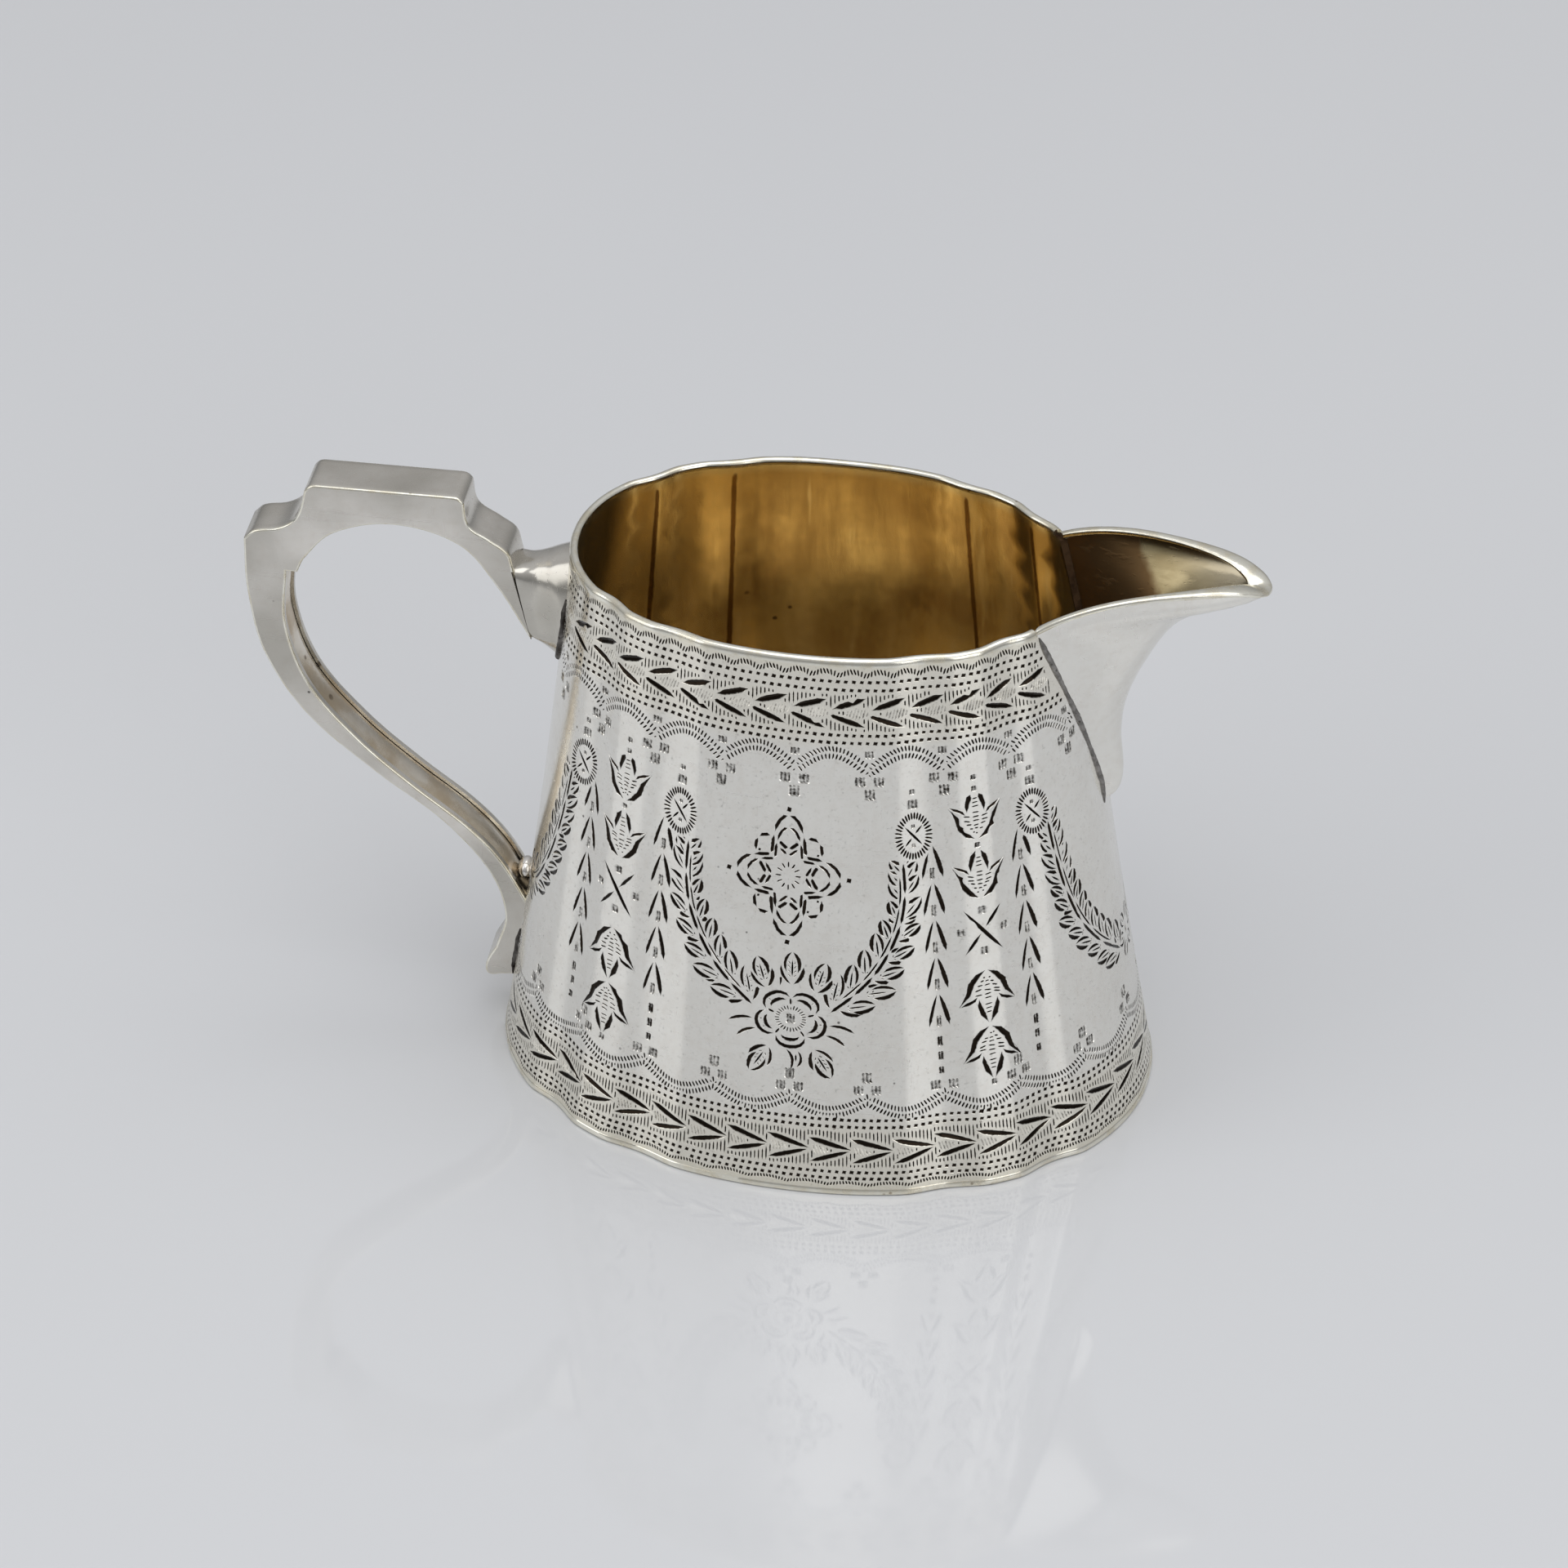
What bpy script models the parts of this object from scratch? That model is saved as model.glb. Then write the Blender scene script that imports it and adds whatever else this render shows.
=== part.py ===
"""A small engraved silver cream jug: an oval fluted body with a flat base, an applied
pouring spout and a hollow strap handle.

Origin: the centre of the base, on the surface that the jug stands on.
+X runs towards the spout, +Z is up, and the jug is symmetric about the XZ plane.
Lengths below are in millimetres and MM turns them into metres.
"""
import math

import bmesh
import bpy
from mathutils import Vector
from mathutils.geometry import interpolate_bezier

MM = 0.001

# Driving dimensions of the body, in millimetres
RIM_Z = 76.0
RIM_HALF_LENGTH = 31.5
RIM_HALF_WIDTH = 21.5
RIM_CENTRE_X = -1.1
RIM_SQUARENESS = 2.12
BASE_HALF_LENGTH = 42.2
BASE_HALF_WIDTH = 31.2
BASE_SQUARENESS = 2.09
WAIST_HOLLOW = 0.6
SHEET = 0.9
GAP = 0.3
AROUND = 144
WALL_ROWS = 5

# Flutes: eight shallow upright hollows in four pairs. Each row is one flute of a pair:
# its angle from the nearest end of the oval, its depth at the base and its depth at the rim
FLUTES = ((40.0, 0.85, 0.5), (62.5, 0.65, 0.35))
FLUTE_HALF_ANGLE = 8.5

# Base plate and rim wire
BASE_THICK = 1.0
RIM_WIRE_WIDTH = 1.3
RIM_WIRE_HEIGHT = 0.9

# Spout
SPOUT_BOTTOM_Z = 43.5
SPOUT_ROOT_Z = 75.6
SPOUT_ROOT_HALF_WIDTH = 11.0
SPOUT_LIP_RISE = 4.5
SPOUT_TIP_DROOP = 1.7
SPOUT_LEAST_HALF = 1.2
SPOUT_LEAST_DEPTH = 2.0
SPOUT_OPENING_INSET = 1.4
SPOUT_OPENING_SILL = 5.0
SPOUT_OPENING_ROWS = 8
SPOUT_COLUMNS = 10
SPOUT_OVERRUN = 1.15
LIP_WIRE_RADIUS = 0.55
LIP_WIRE_ROOM = 2.0 * LIP_WIRE_RADIUS + GAP
LIP_COLUMNS = 18
# Keel of the spout, from inside the body's wall up to the tip: (x, z)
SPOUT_KEEL = (
    (33.4, 42.6), (36.1, 45.0), (36.8, 48.5), (36.3, 54.5), (36.9, 60.0),
    (39.3, 66.4), (42.5, 72.0), (46.4, 75.0), (50.8, 76.4), (53.3, 77.6), (53.7, 79.0),
)

# Handle
HANDLE_WIDTH = 6.2
PLATE = 0.9
STRAP = 0.7
STRAP_RECESS = 0.5
ARCH_RECESS = 0.15
# Each list holds the corners and turning points of one smooth run: (x, z)
HANDLE_NOTCH = ((-74.0, 71.6), (-72.6, 72.9), (-69.4, 73.7), (-67.1, 75.6), (-65.9, 79.8))
HANDLE_THUMB_REST = ((-65.1, 80.6), (-46.6, 81.0))
HANDLE_SHOULDER = ((-45.8, 80.3), (-45.2, 76.9), (-42.4, 74.9), (-40.4, 73.4), (-39.7, 70.8))
HANDLE_ARCH = (
    (-37.7, 60.6), (-41.9, 68.2), (-46.6, 73.9), (-54.8, 75.9),
    (-62.4, 73.7), (-66.3, 69.4), (-67.3, 67.2),
)
HANDLE_INSIDE = (
    (-68.7, 67.2), (-69.1, 59.0), (-66.4, 50.0), (-60.3, 42.1), (-53.7, 36.0),
    (-46.6, 30.2), (-42.1, 25.0), (-38.0, 17.0),
)
HANDLE_TOE = ((-38.0, 7.2), (-42.4, 6.7), (-44.3, 6.5), (-44.6, 8.2), (-43.2, 11.2))
HANDLE_BACK = (
    (-43.2, 11.2), (-41.9, 16.4), (-43.7, 23.0), (-49.6, 30.5), (-58.4, 37.4),
    (-66.9, 45.3), (-72.1, 54.4), (-73.9, 64.0), (-74.0, 71.6),
)
# Sections of the flared boss: distance from the handle, drop, half height, half width, squareness
SOCKET_SECTIONS = (
    (0.0, 0.0, 5.2, 3.1, 6.0), (1.2, 0.7, 5.9, 3.2, 4.0), (2.4, 1.4, 6.8, 3.6, 3.0),
    (3.8, 2.3, 8.0, 4.3, 2.6), (5.4, 3.0, 9.1, 5.1, 2.4), (8.0, 3.4, 10.0, 5.7, 2.3),
)
SOCKET_SIDES = 24


def clear_scene():
    for old in list(bpy.data.objects):
        bpy.data.objects.remove(old, do_unlink=True)


def material(name, colour, roughness, metallic=1.0):
    made = bpy.data.materials.new(name)
    made.use_nodes = True
    shader = made.node_tree.nodes["Principled BSDF"]
    shader.inputs["Base Color"].default_value = (*colour, 1.0)
    shader.inputs["Roughness"].default_value = roughness
    shader.inputs["Metallic"].default_value = metallic
    return made


def finish_mesh(name, work, colour, roughness):
    """Turns a bmesh in millimetres into a named object with its own material."""
    bmesh.ops.recalc_face_normals(work, faces=work.faces)
    bmesh.ops.scale(work, vec=(MM, MM, MM), verts=work.verts)
    mesh = bpy.data.meshes.new(name)
    work.to_mesh(mesh)
    work.free()
    made = bpy.data.objects.new(name, mesh)
    bpy.context.collection.objects.link(made)
    if colour is not None:
        mesh.materials.append(material(name + "_metal", colour, roughness))
    mesh.shade_smooth()
    mesh.set_sharp_from_angle(angle=math.radians(35.0))
    return made


def cutter(made):
    made.hide_render = True
    made.display_type = "WIRE"
    return made


def cut(target, tool):
    boolean = target.modifiers.new("cut_" + tool.name, "BOOLEAN")
    boolean.operation = "DIFFERENCE"
    boolean.solver = "EXACT"
    boolean.object = tool


def mix(low, high, share):
    return low + (high - low) * share


def signed_power(value, power):
    return math.copysign(abs(value) ** power, value)


def body_size(z):
    """Half length, half width, squareness and centre of the oval at height z."""
    share = min(max(z / RIM_Z, 0.0), 1.0)
    hollow = WAIST_HOLLOW * 4.0 * share * (1.0 - share)
    half_length = mix(BASE_HALF_LENGTH, RIM_HALF_LENGTH, share) - hollow
    half_width = mix(BASE_HALF_WIDTH, RIM_HALF_WIDTH, share) - hollow
    squareness = mix(BASE_SQUARENESS, RIM_SQUARENESS, share)
    return half_length, half_width, squareness, RIM_CENTRE_X * share


def flute_depth(degrees, z):
    """How far the wall is pressed in at this angle of the oval."""
    from_end = abs((degrees + 180.0) % 360.0 - 180.0)
    from_end = min(from_end, 180.0 - from_end)
    share = min(max(z / RIM_Z, 0.0), 1.0)
    for angle, depth_at_base, depth_at_rim in FLUTES:
        away = (from_end - angle) / FLUTE_HALF_ANGLE
        if abs(away) < 1.0:
            return mix(depth_at_base, depth_at_rim, share) * (1.0 - away * away) ** 2
    return 0.0


def wall_point(degrees, z, offset=0.0):
    """A point of the body's outer face, moved outwards by offset."""
    half_length, half_width, squareness, centre = body_size(z)
    grow = offset - flute_depth(degrees, z)
    angle = math.radians(degrees)
    power = 2.0 / squareness
    x = centre + (half_length + grow) * signed_power(math.cos(angle), power)
    y = (half_width + grow) * signed_power(math.sin(angle), power)
    return Vector((x, y, z))


def wall_loop(z, offset=0.0):
    return [wall_point(360.0 * step / AROUND, z, offset) for step in range(AROUND)]


def loft(loops, closed_ends=True, ring=False):
    """Joins loops of equal length into one skin. A ring also joins the last to the first."""
    work = bmesh.new()
    rows = [[work.verts.new(point) for point in loop] for loop in loops]
    pairs = list(zip(rows, rows[1:]))
    if ring:
        pairs.append((rows[-1], rows[0]))
    for low, high in pairs:
        count = len(low)
        for here in range(count):
            after = (here + 1) % count
            work.faces.new((low[here], low[after], high[after], high[here]))
    if closed_ends and not ring:
        work.faces.new(rows[0])
        work.faces.new(rows[-1])
    return work


def body_core(name, offset):
    """The body's outer volume grown by offset and run past both ends, as a cutting tool."""
    heights = (-5.0, 0.0) + tuple(RIM_Z * step / 6.0 for step in range(1, 7)) + (90.0,)
    loops = [wall_loop(z, offset) for z in heights]
    return cutter(finish_mesh(name, loft(loops), None, 0.0))


def body_wall():
    bottom = BASE_THICK + GAP
    top = RIM_Z - RIM_WIRE_HEIGHT - GAP
    heights = [mix(bottom, top, step / WALL_ROWS) for step in range(WALL_ROWS + 1)]
    outside = [wall_loop(z) for z in heights]
    inside = [wall_loop(z, -SHEET) for z in reversed(heights)]
    work = loft(outside + inside, ring=True)
    return finish_mesh("body_wall", work, (0.80, 0.78, 0.74), 0.18)


def base_plate():
    rounding = 0.25
    loops = [wall_loop(0.0, -rounding), wall_loop(rounding), wall_loop(BASE_THICK)]
    return finish_mesh("base_plate", loft(loops), (0.78, 0.75, 0.66), 0.28)


def rim_wire():
    """Edging wire soldered on the wall's upper edge: a flattened half round."""
    low = RIM_Z - RIM_WIRE_HEIGHT
    middle = RIM_Z - RIM_WIRE_HEIGHT * 0.35
    proud = 0.15
    inner = proud - RIM_WIRE_WIDTH
    section = (
        (proud, low), (proud, middle), (proud - 0.35, RIM_Z),
        (inner + 0.35, RIM_Z), (inner, middle), (inner, low),
    )
    loops = [[wall_point(angle, z, out) for angle in ring_angles()] for out, z in section]
    return finish_mesh("rim_wire", loft(loops, ring=True), (0.80, 0.76, 0.62), 0.22)


def ring_angles():
    return [360.0 * step / AROUND for step in range(AROUND)]


def spout_half_width(z):
    """Half width of the spout where it meets the body, at height z."""
    share = (z - SPOUT_BOTTOM_Z) / (SPOUT_ROOT_Z - SPOUT_BOTTOM_Z)
    share = min(max(share, 0.0), 1.0)
    return max(SPOUT_ROOT_HALF_WIDTH * share * (1.0 + 0.3 * share * (1.0 - share)), SPOUT_LEAST_HALF)


def body_front_x(y, z):
    """X of the body's outer face on the spout side."""
    half_length, half_width, squareness, centre = body_size(z)
    rest = 1.0 - (abs(y) / half_width) ** squareness
    return centre + half_length * rest ** (1.0 / squareness)


def keel_x(keel, z):
    """X of the spout's keel at height z, read from its smooth line."""
    for low, high in zip(keel, keel[1:]):
        if z <= high.y:
            return mix(low.x, high.x, (z - low.y) / (high.y - low.y))
    return keel[-1].x


def lip_z(across):
    """Height of the lip's upper edge, from the tip (0) to the roots at the rim (-1 and 1)."""
    reach = min(abs(across), 1.0)
    rise = SPOUT_LIP_RISE * (1.0 - reach ** 8)
    droop = SPOUT_TIP_DROOP * (1.0 - reach ** 2) ** 12
    return SPOUT_ROOT_Z + rise - droop


def spout_point(keel, across, z, set_in=0.0):
    """A point of the spout's face, a parabola at each height. set_in narrows it at the sides."""
    reach = abs(across)
    half = max(spout_half_width(z) - set_in, 0.3 * SPOUT_LEAST_HALF)
    nose_x = keel_x(keel, z)
    root_x = min(body_front_x(half, min(z, SPOUT_ROOT_Z)), nose_x - SPOUT_LEAST_DEPTH)
    x = mix(nose_x, root_x, reach * reach)
    y = half * reach * (0.9 + 0.1 * reach ** 4)
    return Vector((x, math.copysign(y, across), z))


def spout_shell(core, keel):
    """One sheet folded round the keel. Its edges run into the body, where they are trimmed."""
    inner_keel = set_left(keel, SHEET)
    lowest = keel[0].y
    shares = [min((point.y - lowest) / (lip_z(0.0) - lowest), 1.0) for point in keel]
    turns = [SPOUT_OVERRUN * step / SPOUT_COLUMNS for step in range(-SPOUT_COLUMNS, SPOUT_COLUMNS + 1)]
    front = []
    back = []
    for share in shares:
        heights = [mix(lowest, lip_z(turn) - LIP_WIRE_ROOM, share) for turn in turns]
        front.append([spout_point(keel, turn, z) for turn, z in zip(turns, heights)])
        back.append([spout_point(inner_keel, turn, z, SHEET) for turn, z in zip(turns, heights)])
    made = finish_mesh("spout_shell", sheet(front, back), (0.80, 0.78, 0.74), 0.18)
    cut(made, core)
    return made


def sheet(front, back):
    """Two grids of points made into one closed sheet with its four edges filled."""
    work = bmesh.new()
    outer = [[work.verts.new(point) for point in row] for row in front]
    inner = [[work.verts.new(point) for point in row] for row in back]
    last_row = len(outer) - 1
    last_column = len(outer[0]) - 1
    for row in range(last_row):
        for column in range(last_column):
            for skin in (outer, inner):
                work.faces.new((
                    skin[row][column], skin[row][column + 1],
                    skin[row + 1][column + 1], skin[row + 1][column],
                ))
    for row in (0, last_row):
        for column in range(last_column):
            work.faces.new((
                outer[row][column], outer[row][column + 1],
                inner[row][column + 1], inner[row][column],
            ))
    for column in (0, last_column):
        for row in range(last_row):
            work.faces.new((
                outer[row][column], outer[row + 1][column],
                inner[row + 1][column], inner[row][column],
            ))
    return work


def spout_lip_wire(core, keel):
    """Round wire that stiffens the lip, from one root over the tip to the other root."""
    path = []
    for column in range(-LIP_COLUMNS, LIP_COLUMNS + 1):
        across = 1.08 * math.sin(0.5 * math.pi * column / LIP_COLUMNS)
        point = spout_point(keel, across, lip_z(across))
        point.z -= LIP_WIRE_RADIUS
        point.y -= math.copysign(0.5 * SHEET, across) * min(abs(across) * 4.0, 1.0)
        point.x -= 0.5 * SHEET
        path.append(point)
    made = finish_mesh("spout_lip_wire", tube(path, LIP_WIRE_RADIUS, 8), (0.82, 0.80, 0.76), 0.16)
    cut(made, core)
    return made


def tube(path, radius, sides):
    """A round bar along a nearly level path."""
    loops = []
    for here, point in enumerate(path):
        before = path[max(here - 1, 0)]
        after = path[min(here + 1, len(path) - 1)]
        along = (after - before).normalized()
        side = along.cross(Vector((0.0, 0.0, 1.0))).normalized()
        above = side.cross(along)
        loop = []
        for step in range(sides):
            angle = 2.0 * math.pi * step / sides
            loop.append(point + (side * math.cos(angle) + above * math.sin(angle)) * radius)
        loops.append(loop)
    return loft(loops)


def spout_opening():
    """Cutter for the body wall behind the spout: the spout's outline, set in by the inset."""
    inside_x = 15.0
    reach = 30.0
    above_rim = RIM_Z + 10.0
    work = bmesh.new()
    rising = []
    for step in range(SPOUT_OPENING_ROWS + 1):
        z = mix(SPOUT_BOTTOM_Z + SPOUT_OPENING_SILL, SPOUT_ROOT_Z, step / SPOUT_OPENING_ROWS)
        rising.append((spout_half_width(z) - SPOUT_OPENING_INSET, z))
    rising.append((SPOUT_ROOT_HALF_WIDTH - SPOUT_OPENING_INSET, above_rim))
    outline = rising + [(-y, z) for y, z in reversed(rising)]
    face = work.faces.new([work.verts.new((inside_x, y, z)) for y, z in outline])
    pushed = bmesh.ops.extrude_face_region(work, geom=[face])
    moved = [item for item in pushed["geom"] if isinstance(item, bmesh.types.BMVert)]
    bmesh.ops.translate(work, verts=moved, vec=(reach, 0.0, 0.0))
    return cutter(finish_mesh("spout_opening_guide", work, None, 0.0))


def rim_break():
    """Cutter that ends the rim wire at the two roots of the spout."""
    wire_room = 0.3
    length = 30.0
    height = 20.0
    work = bmesh.new()
    bmesh.ops.create_cube(work, size=1.0)
    width = 2.0 * (SPOUT_ROOT_HALF_WIDTH + GAP + wire_room)
    bmesh.ops.scale(work, verts=work.verts, vec=(length, width, height))
    bmesh.ops.translate(work, verts=work.verts, vec=(length, 0.0, RIM_Z))
    return cutter(finish_mesh("rim_break_guide", work, None, 0.0))


def smooth_run(points, steps=4):
    """A smooth curve through every point of a run, as bezier spans of equal step count."""
    path = [Vector((x, y, 0.0)) for x, y in points]
    slopes = []
    for here in range(len(path)):
        before = path[max(here - 1, 0)]
        after = path[min(here + 1, len(path) - 1)]
        slopes.append((after - before).normalized())
    made = [path[0]]
    for here in range(len(path) - 1):
        reach = (path[here + 1] - path[here]).length / 3.0
        leaving = path[here] + slopes[here] * reach
        arriving = path[here + 1] - slopes[here + 1] * reach
        span = interpolate_bezier(path[here], leaving, arriving, path[here + 1], steps + 1)
        made.extend(span[1:])
    return [Vector((point.x, point.y)) for point in made]


def joined(*runs):
    """Runs one after another, with the point that two runs share kept once."""
    path = []
    for run in runs:
        for point in run:
            if not path or (point - path[-1]).length > 0.05:
                path.append(point)
    return path


def set_right(path, distance, end_distance=None):
    """The path moved to the right of its own direction, with mitred corners.

    The distance runs evenly along the path to end_distance, where one is given.
    """
    if end_distance is None:
        end_distance = distance
    moved = []
    for here, point in enumerate(path):
        shift = mix(distance, end_distance, here / (len(path) - 1))
        before = path[max(here - 1, 0)]
        after = path[min(here + 1, len(path) - 1)]
        arriving = (point - before).normalized() if here > 0 else (after - point).normalized()
        leaving = (after - point).normalized() if here < len(path) - 1 else arriving
        turn = (arriving + leaving).normalized()
        right = Vector((turn.y, -turn.x))
        spread = max(turn.dot(leaving), 0.6)
        moved.append(point + right * (shift / spread))
    return moved


def set_left(path, distance):
    return set_right(path, -distance)


def profile_solid(name, outline, low_y, high_y, colour, roughness):
    """A flat plate: an outline in the XZ plane, pushed from low_y to high_y."""
    work = bmesh.new()
    face = work.faces.new([work.verts.new((point.x, low_y, point.y)) for point in outline])
    pushed = bmesh.ops.extrude_face_region(work, geom=[face])
    moved = [item for item in pushed["geom"] if isinstance(item, bmesh.types.BMVert)]
    bmesh.ops.translate(work, verts=moved, vec=(0.0, high_y - low_y, 0.0))
    return finish_mesh(name, work, colour, roughness)


def handle_paths():
    """The handle's outer line, from toe to shoulder, and its two inner lines."""
    outer = joined(
        smooth_run(HANDLE_TOE, 3), smooth_run(HANDLE_BACK, 4), smooth_run(HANDLE_NOTCH, 3),
        smooth_run(HANDLE_THUMB_REST, 1), smooth_run(HANDLE_SHOULDER, 3),
    )
    return outer, smooth_run(HANDLE_ARCH, 4), smooth_run(HANDLE_INSIDE, 4)


def handle(core):
    """Two side plates with straps let in between their edges."""
    outer, arch, inside = handle_paths()
    silver = (0.80, 0.77, 0.73)
    half = 0.5 * HANDLE_WIDTH
    between = half - PLATE - GAP
    outline = joined(outer, arch, inside)
    made = [
        profile_solid("handle_side_near", outline, -half, PLATE - half, silver, 0.25),
        profile_solid("handle_side_far", outline, half - PLATE, half, silver, 0.25),
    ]

    toe_count = len(smooth_run(HANDLE_TOE, 3))
    back_edge = set_right(outer, STRAP)[toe_count:]
    toe_x = HANDLE_TOE[0][0]
    toe_inside = [Vector((toe_x, back_edge[0].y + 0.5 * STRAP))]
    outline = outer + list(reversed(back_edge)) + toe_inside
    made.append(profile_solid("handle_outer_strap", outline, -between, between, silver, 0.25))

    clear_of_socket = arch[1:]
    recessed = set_right(clear_of_socket, ARCH_RECESS)
    outline = recessed + list(reversed(set_right(clear_of_socket, ARCH_RECESS + STRAP)))
    made.append(profile_solid("handle_inner_strap_upper", outline, -between, between, silver, 0.3))

    recessed = set_right(inside, STRAP_RECESS, 0.0)
    outline = recessed + list(reversed(set_right(inside, STRAP_RECESS + STRAP, STRAP)))
    made.append(profile_solid("handle_inner_strap_lower", outline, -between, between, silver, 0.35))
    for piece in made:
        cut(piece, core)


def handle_upper_socket(core):
    """Flared boss between the handle's upper end and the body."""
    top = Vector(HANDLE_SHOULDER[-1])
    bottom = Vector(HANDLE_ARCH[0])
    down = (bottom - top).normalized()
    toward_body = Vector((-down.y, down.x))
    middle = (top + bottom) / 2.0 + toward_body * GAP
    loops = []
    for away, drop, half_height, half_width, squareness in SOCKET_SECTIONS:
        centre = middle + toward_body * away + down * drop
        loop = []
        for step in range(SOCKET_SIDES):
            angle = 2.0 * math.pi * step / SOCKET_SIDES
            power = 2.0 / squareness
            along = half_height * signed_power(math.cos(angle), power)
            y = half_width * signed_power(math.sin(angle), power)
            point = centre + down * along
            loop.append(Vector((point.x, y, point.y)))
        loops.append(loop)
    made = finish_mesh("handle_upper_socket", loft(loops), (0.80, 0.78, 0.74), 0.2)
    cut(made, core)
    return made


def main():
    clear_scene()
    core = body_core("body_core_guide", GAP)
    wall = body_wall()
    cut(wall, spout_opening())
    base_plate()
    cut(rim_wire(), rim_break())
    keel = smooth_run(SPOUT_KEEL, 2)
    spout_shell(core, keel)
    spout_lip_wire(core, keel)
    handle(core)
    handle_upper_socket(core)


main()
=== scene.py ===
"""The looks of a small engraved silver cream jug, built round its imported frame.

Lengths are in millimetres and MM turns them into metres. The base stands on z = 0, the spout
points along +X and the jug is symmetric about the XZ plane. The body, spout and handle follow the
same formulas as the frame. The body's wall is unrolled into a flat strip for the engraving: u is
the distance round the wall at MIDDLE_Z, from the seam under the handle past the front (-Y) to the
spout and round the back, and z is the height.
"""
import bisect
import math
import random
from itertools import groupby

import bmesh
import bpy
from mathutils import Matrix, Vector, kdtree
from mathutils.geometry import delaunay_2d_cdt, interpolate_bezier


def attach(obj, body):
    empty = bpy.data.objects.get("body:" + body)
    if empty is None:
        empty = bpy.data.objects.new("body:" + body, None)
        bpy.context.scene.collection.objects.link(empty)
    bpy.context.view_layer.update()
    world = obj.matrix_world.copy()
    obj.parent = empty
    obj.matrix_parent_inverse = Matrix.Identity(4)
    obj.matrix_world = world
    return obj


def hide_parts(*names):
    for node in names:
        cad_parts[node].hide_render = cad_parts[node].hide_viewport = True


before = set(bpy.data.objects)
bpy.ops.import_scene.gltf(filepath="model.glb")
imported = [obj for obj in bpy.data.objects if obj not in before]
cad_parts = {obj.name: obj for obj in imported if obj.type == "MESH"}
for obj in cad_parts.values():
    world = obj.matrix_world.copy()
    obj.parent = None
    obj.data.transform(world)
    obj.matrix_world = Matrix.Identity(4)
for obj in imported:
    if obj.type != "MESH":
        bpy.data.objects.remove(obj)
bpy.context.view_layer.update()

MM = 0.001

# Body
RIM_Z = 76.0
MIDDLE_Z = 38.0
RIM_HALF_LENGTH = 31.5
RIM_HALF_WIDTH = 21.5
RIM_CENTRE_X = -1.1
RIM_SQUARENESS = 2.12
BASE_HALF_LENGTH = 42.2
BASE_HALF_WIDTH = 31.2
BASE_SQUARENESS = 2.09
WAIST_HOLLOW = 0.6
SHEET = 0.9
FLUTES = ((40.0, 0.85, 0.5), (62.5, 0.65, 0.35))
FLUTE_HALF_ANGLE = 8.5
BASE_THICK = 1.0
RIM_WIRE_WIDTH = 1.15
RIM_WIRE_HEIGHT = 0.9
WALL_BOTTOM = BASE_THICK - 0.05
WALL_TOP = RIM_Z - RIM_WIRE_HEIGHT + 0.05

# Spout
SPOUT_BOTTOM_Z = 43.5
SPOUT_ROOT_Z = 75.6
SPOUT_ROOT_HALF_WIDTH = 11.0
SPOUT_LIP_RISE = 4.5
SPOUT_TIP_DROOP = 1.7
SPOUT_SWELL = 0.3
SPOUT_LEAST_HALF = 1.2
SPOUT_LEAST_DEPTH = 2.0
SPOUT_OPENING_INSET = 0.95
SPOUT_OVERRUN = 1.15
OPENING_BOTTOM_Z = SPOUT_BOTTOM_Z + 5.0
LIP_WIRE_RADIUS = 0.55
SPOUT_KEEL = (
    (33.4, 42.6), (36.1, 45.0), (36.8, 48.5), (36.3, 54.5), (36.9, 60.0),
    (39.3, 66.4), (42.5, 72.0), (46.4, 75.0), (50.8, 76.4), (53.3, 77.6), (53.7, 79.0),
)

# Handle
HANDLE_WIDTH = 6.2
PLATE = 0.9
STRAP = 0.7
STRAP_RECESS = 0.5
HANDLE_NOTCH = ((-74.0, 71.6), (-72.6, 72.9), (-69.4, 73.7), (-67.1, 75.6), (-65.9, 79.8))
HANDLE_THUMB_REST = ((-65.1, 80.6), (-46.6, 81.0))
HANDLE_SHOULDER = ((-45.8, 80.3), (-45.2, 76.9), (-42.4, 74.9), (-40.4, 73.4), (-39.7, 70.8))
HANDLE_ARCH = (
    (-37.7, 60.6), (-41.9, 68.2), (-46.6, 73.9), (-54.8, 75.9),
    (-62.4, 73.7), (-66.3, 69.4), (-67.3, 67.2),
)
HANDLE_INSIDE = (
    (-68.7, 67.2), (-69.1, 59.0), (-66.4, 50.0), (-60.3, 42.1), (-53.7, 36.0),
    (-46.6, 30.2), (-42.1, 25.0), (-38.0, 17.0),
)
HANDLE_TOE = ((-38.0, 7.2), (-42.4, 6.7), (-44.3, 6.5), (-44.6, 8.2), (-43.2, 11.2))
HANDLE_BACK = (
    (-43.2, 11.2), (-41.9, 16.4), (-43.7, 23.0), (-49.6, 30.5), (-58.4, 37.4),
    (-66.9, 45.3), (-72.1, 54.4), (-73.9, 64.0), (-74.0, 71.6),
)
SOCKET_SECTIONS = (
    (0.0, 0.0, 5.2, 3.1, 6.0), (1.2, 0.7, 5.9, 3.2, 4.0), (2.4, 1.4, 6.8, 3.6, 3.0),
    (3.8, 2.3, 8.0, 4.3, 2.6), (5.4, 3.0, 9.1, 5.1, 2.4), (8.0, 3.4, 10.0, 5.7, 2.3),
)

# The wall's mesh: spacing of the points that fill it, and what counts as lying on the seam
GRID = 1.15
GRID_CLEAR = 0.5
INNER_GRID = 2.6
BORDER_STEP = 1.1
SEAM_NEAR = 1e-4

# Cuts: the room they leave each other, and the shortest ones worth making
CUT_DEPTH = 0.13
NICK_DEPTH = 0.09
SEAM_CLEAR = 0.25
CLEAR_STEP = 0.15
CUT_ROOM = 0.05
POINT_ROOM = 0.03
HATCH_STEP = 0.16
LEAST_HATCH = 0.4
LEAST_CUT = 0.32
LEAST_SHARE = 0.4

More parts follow.
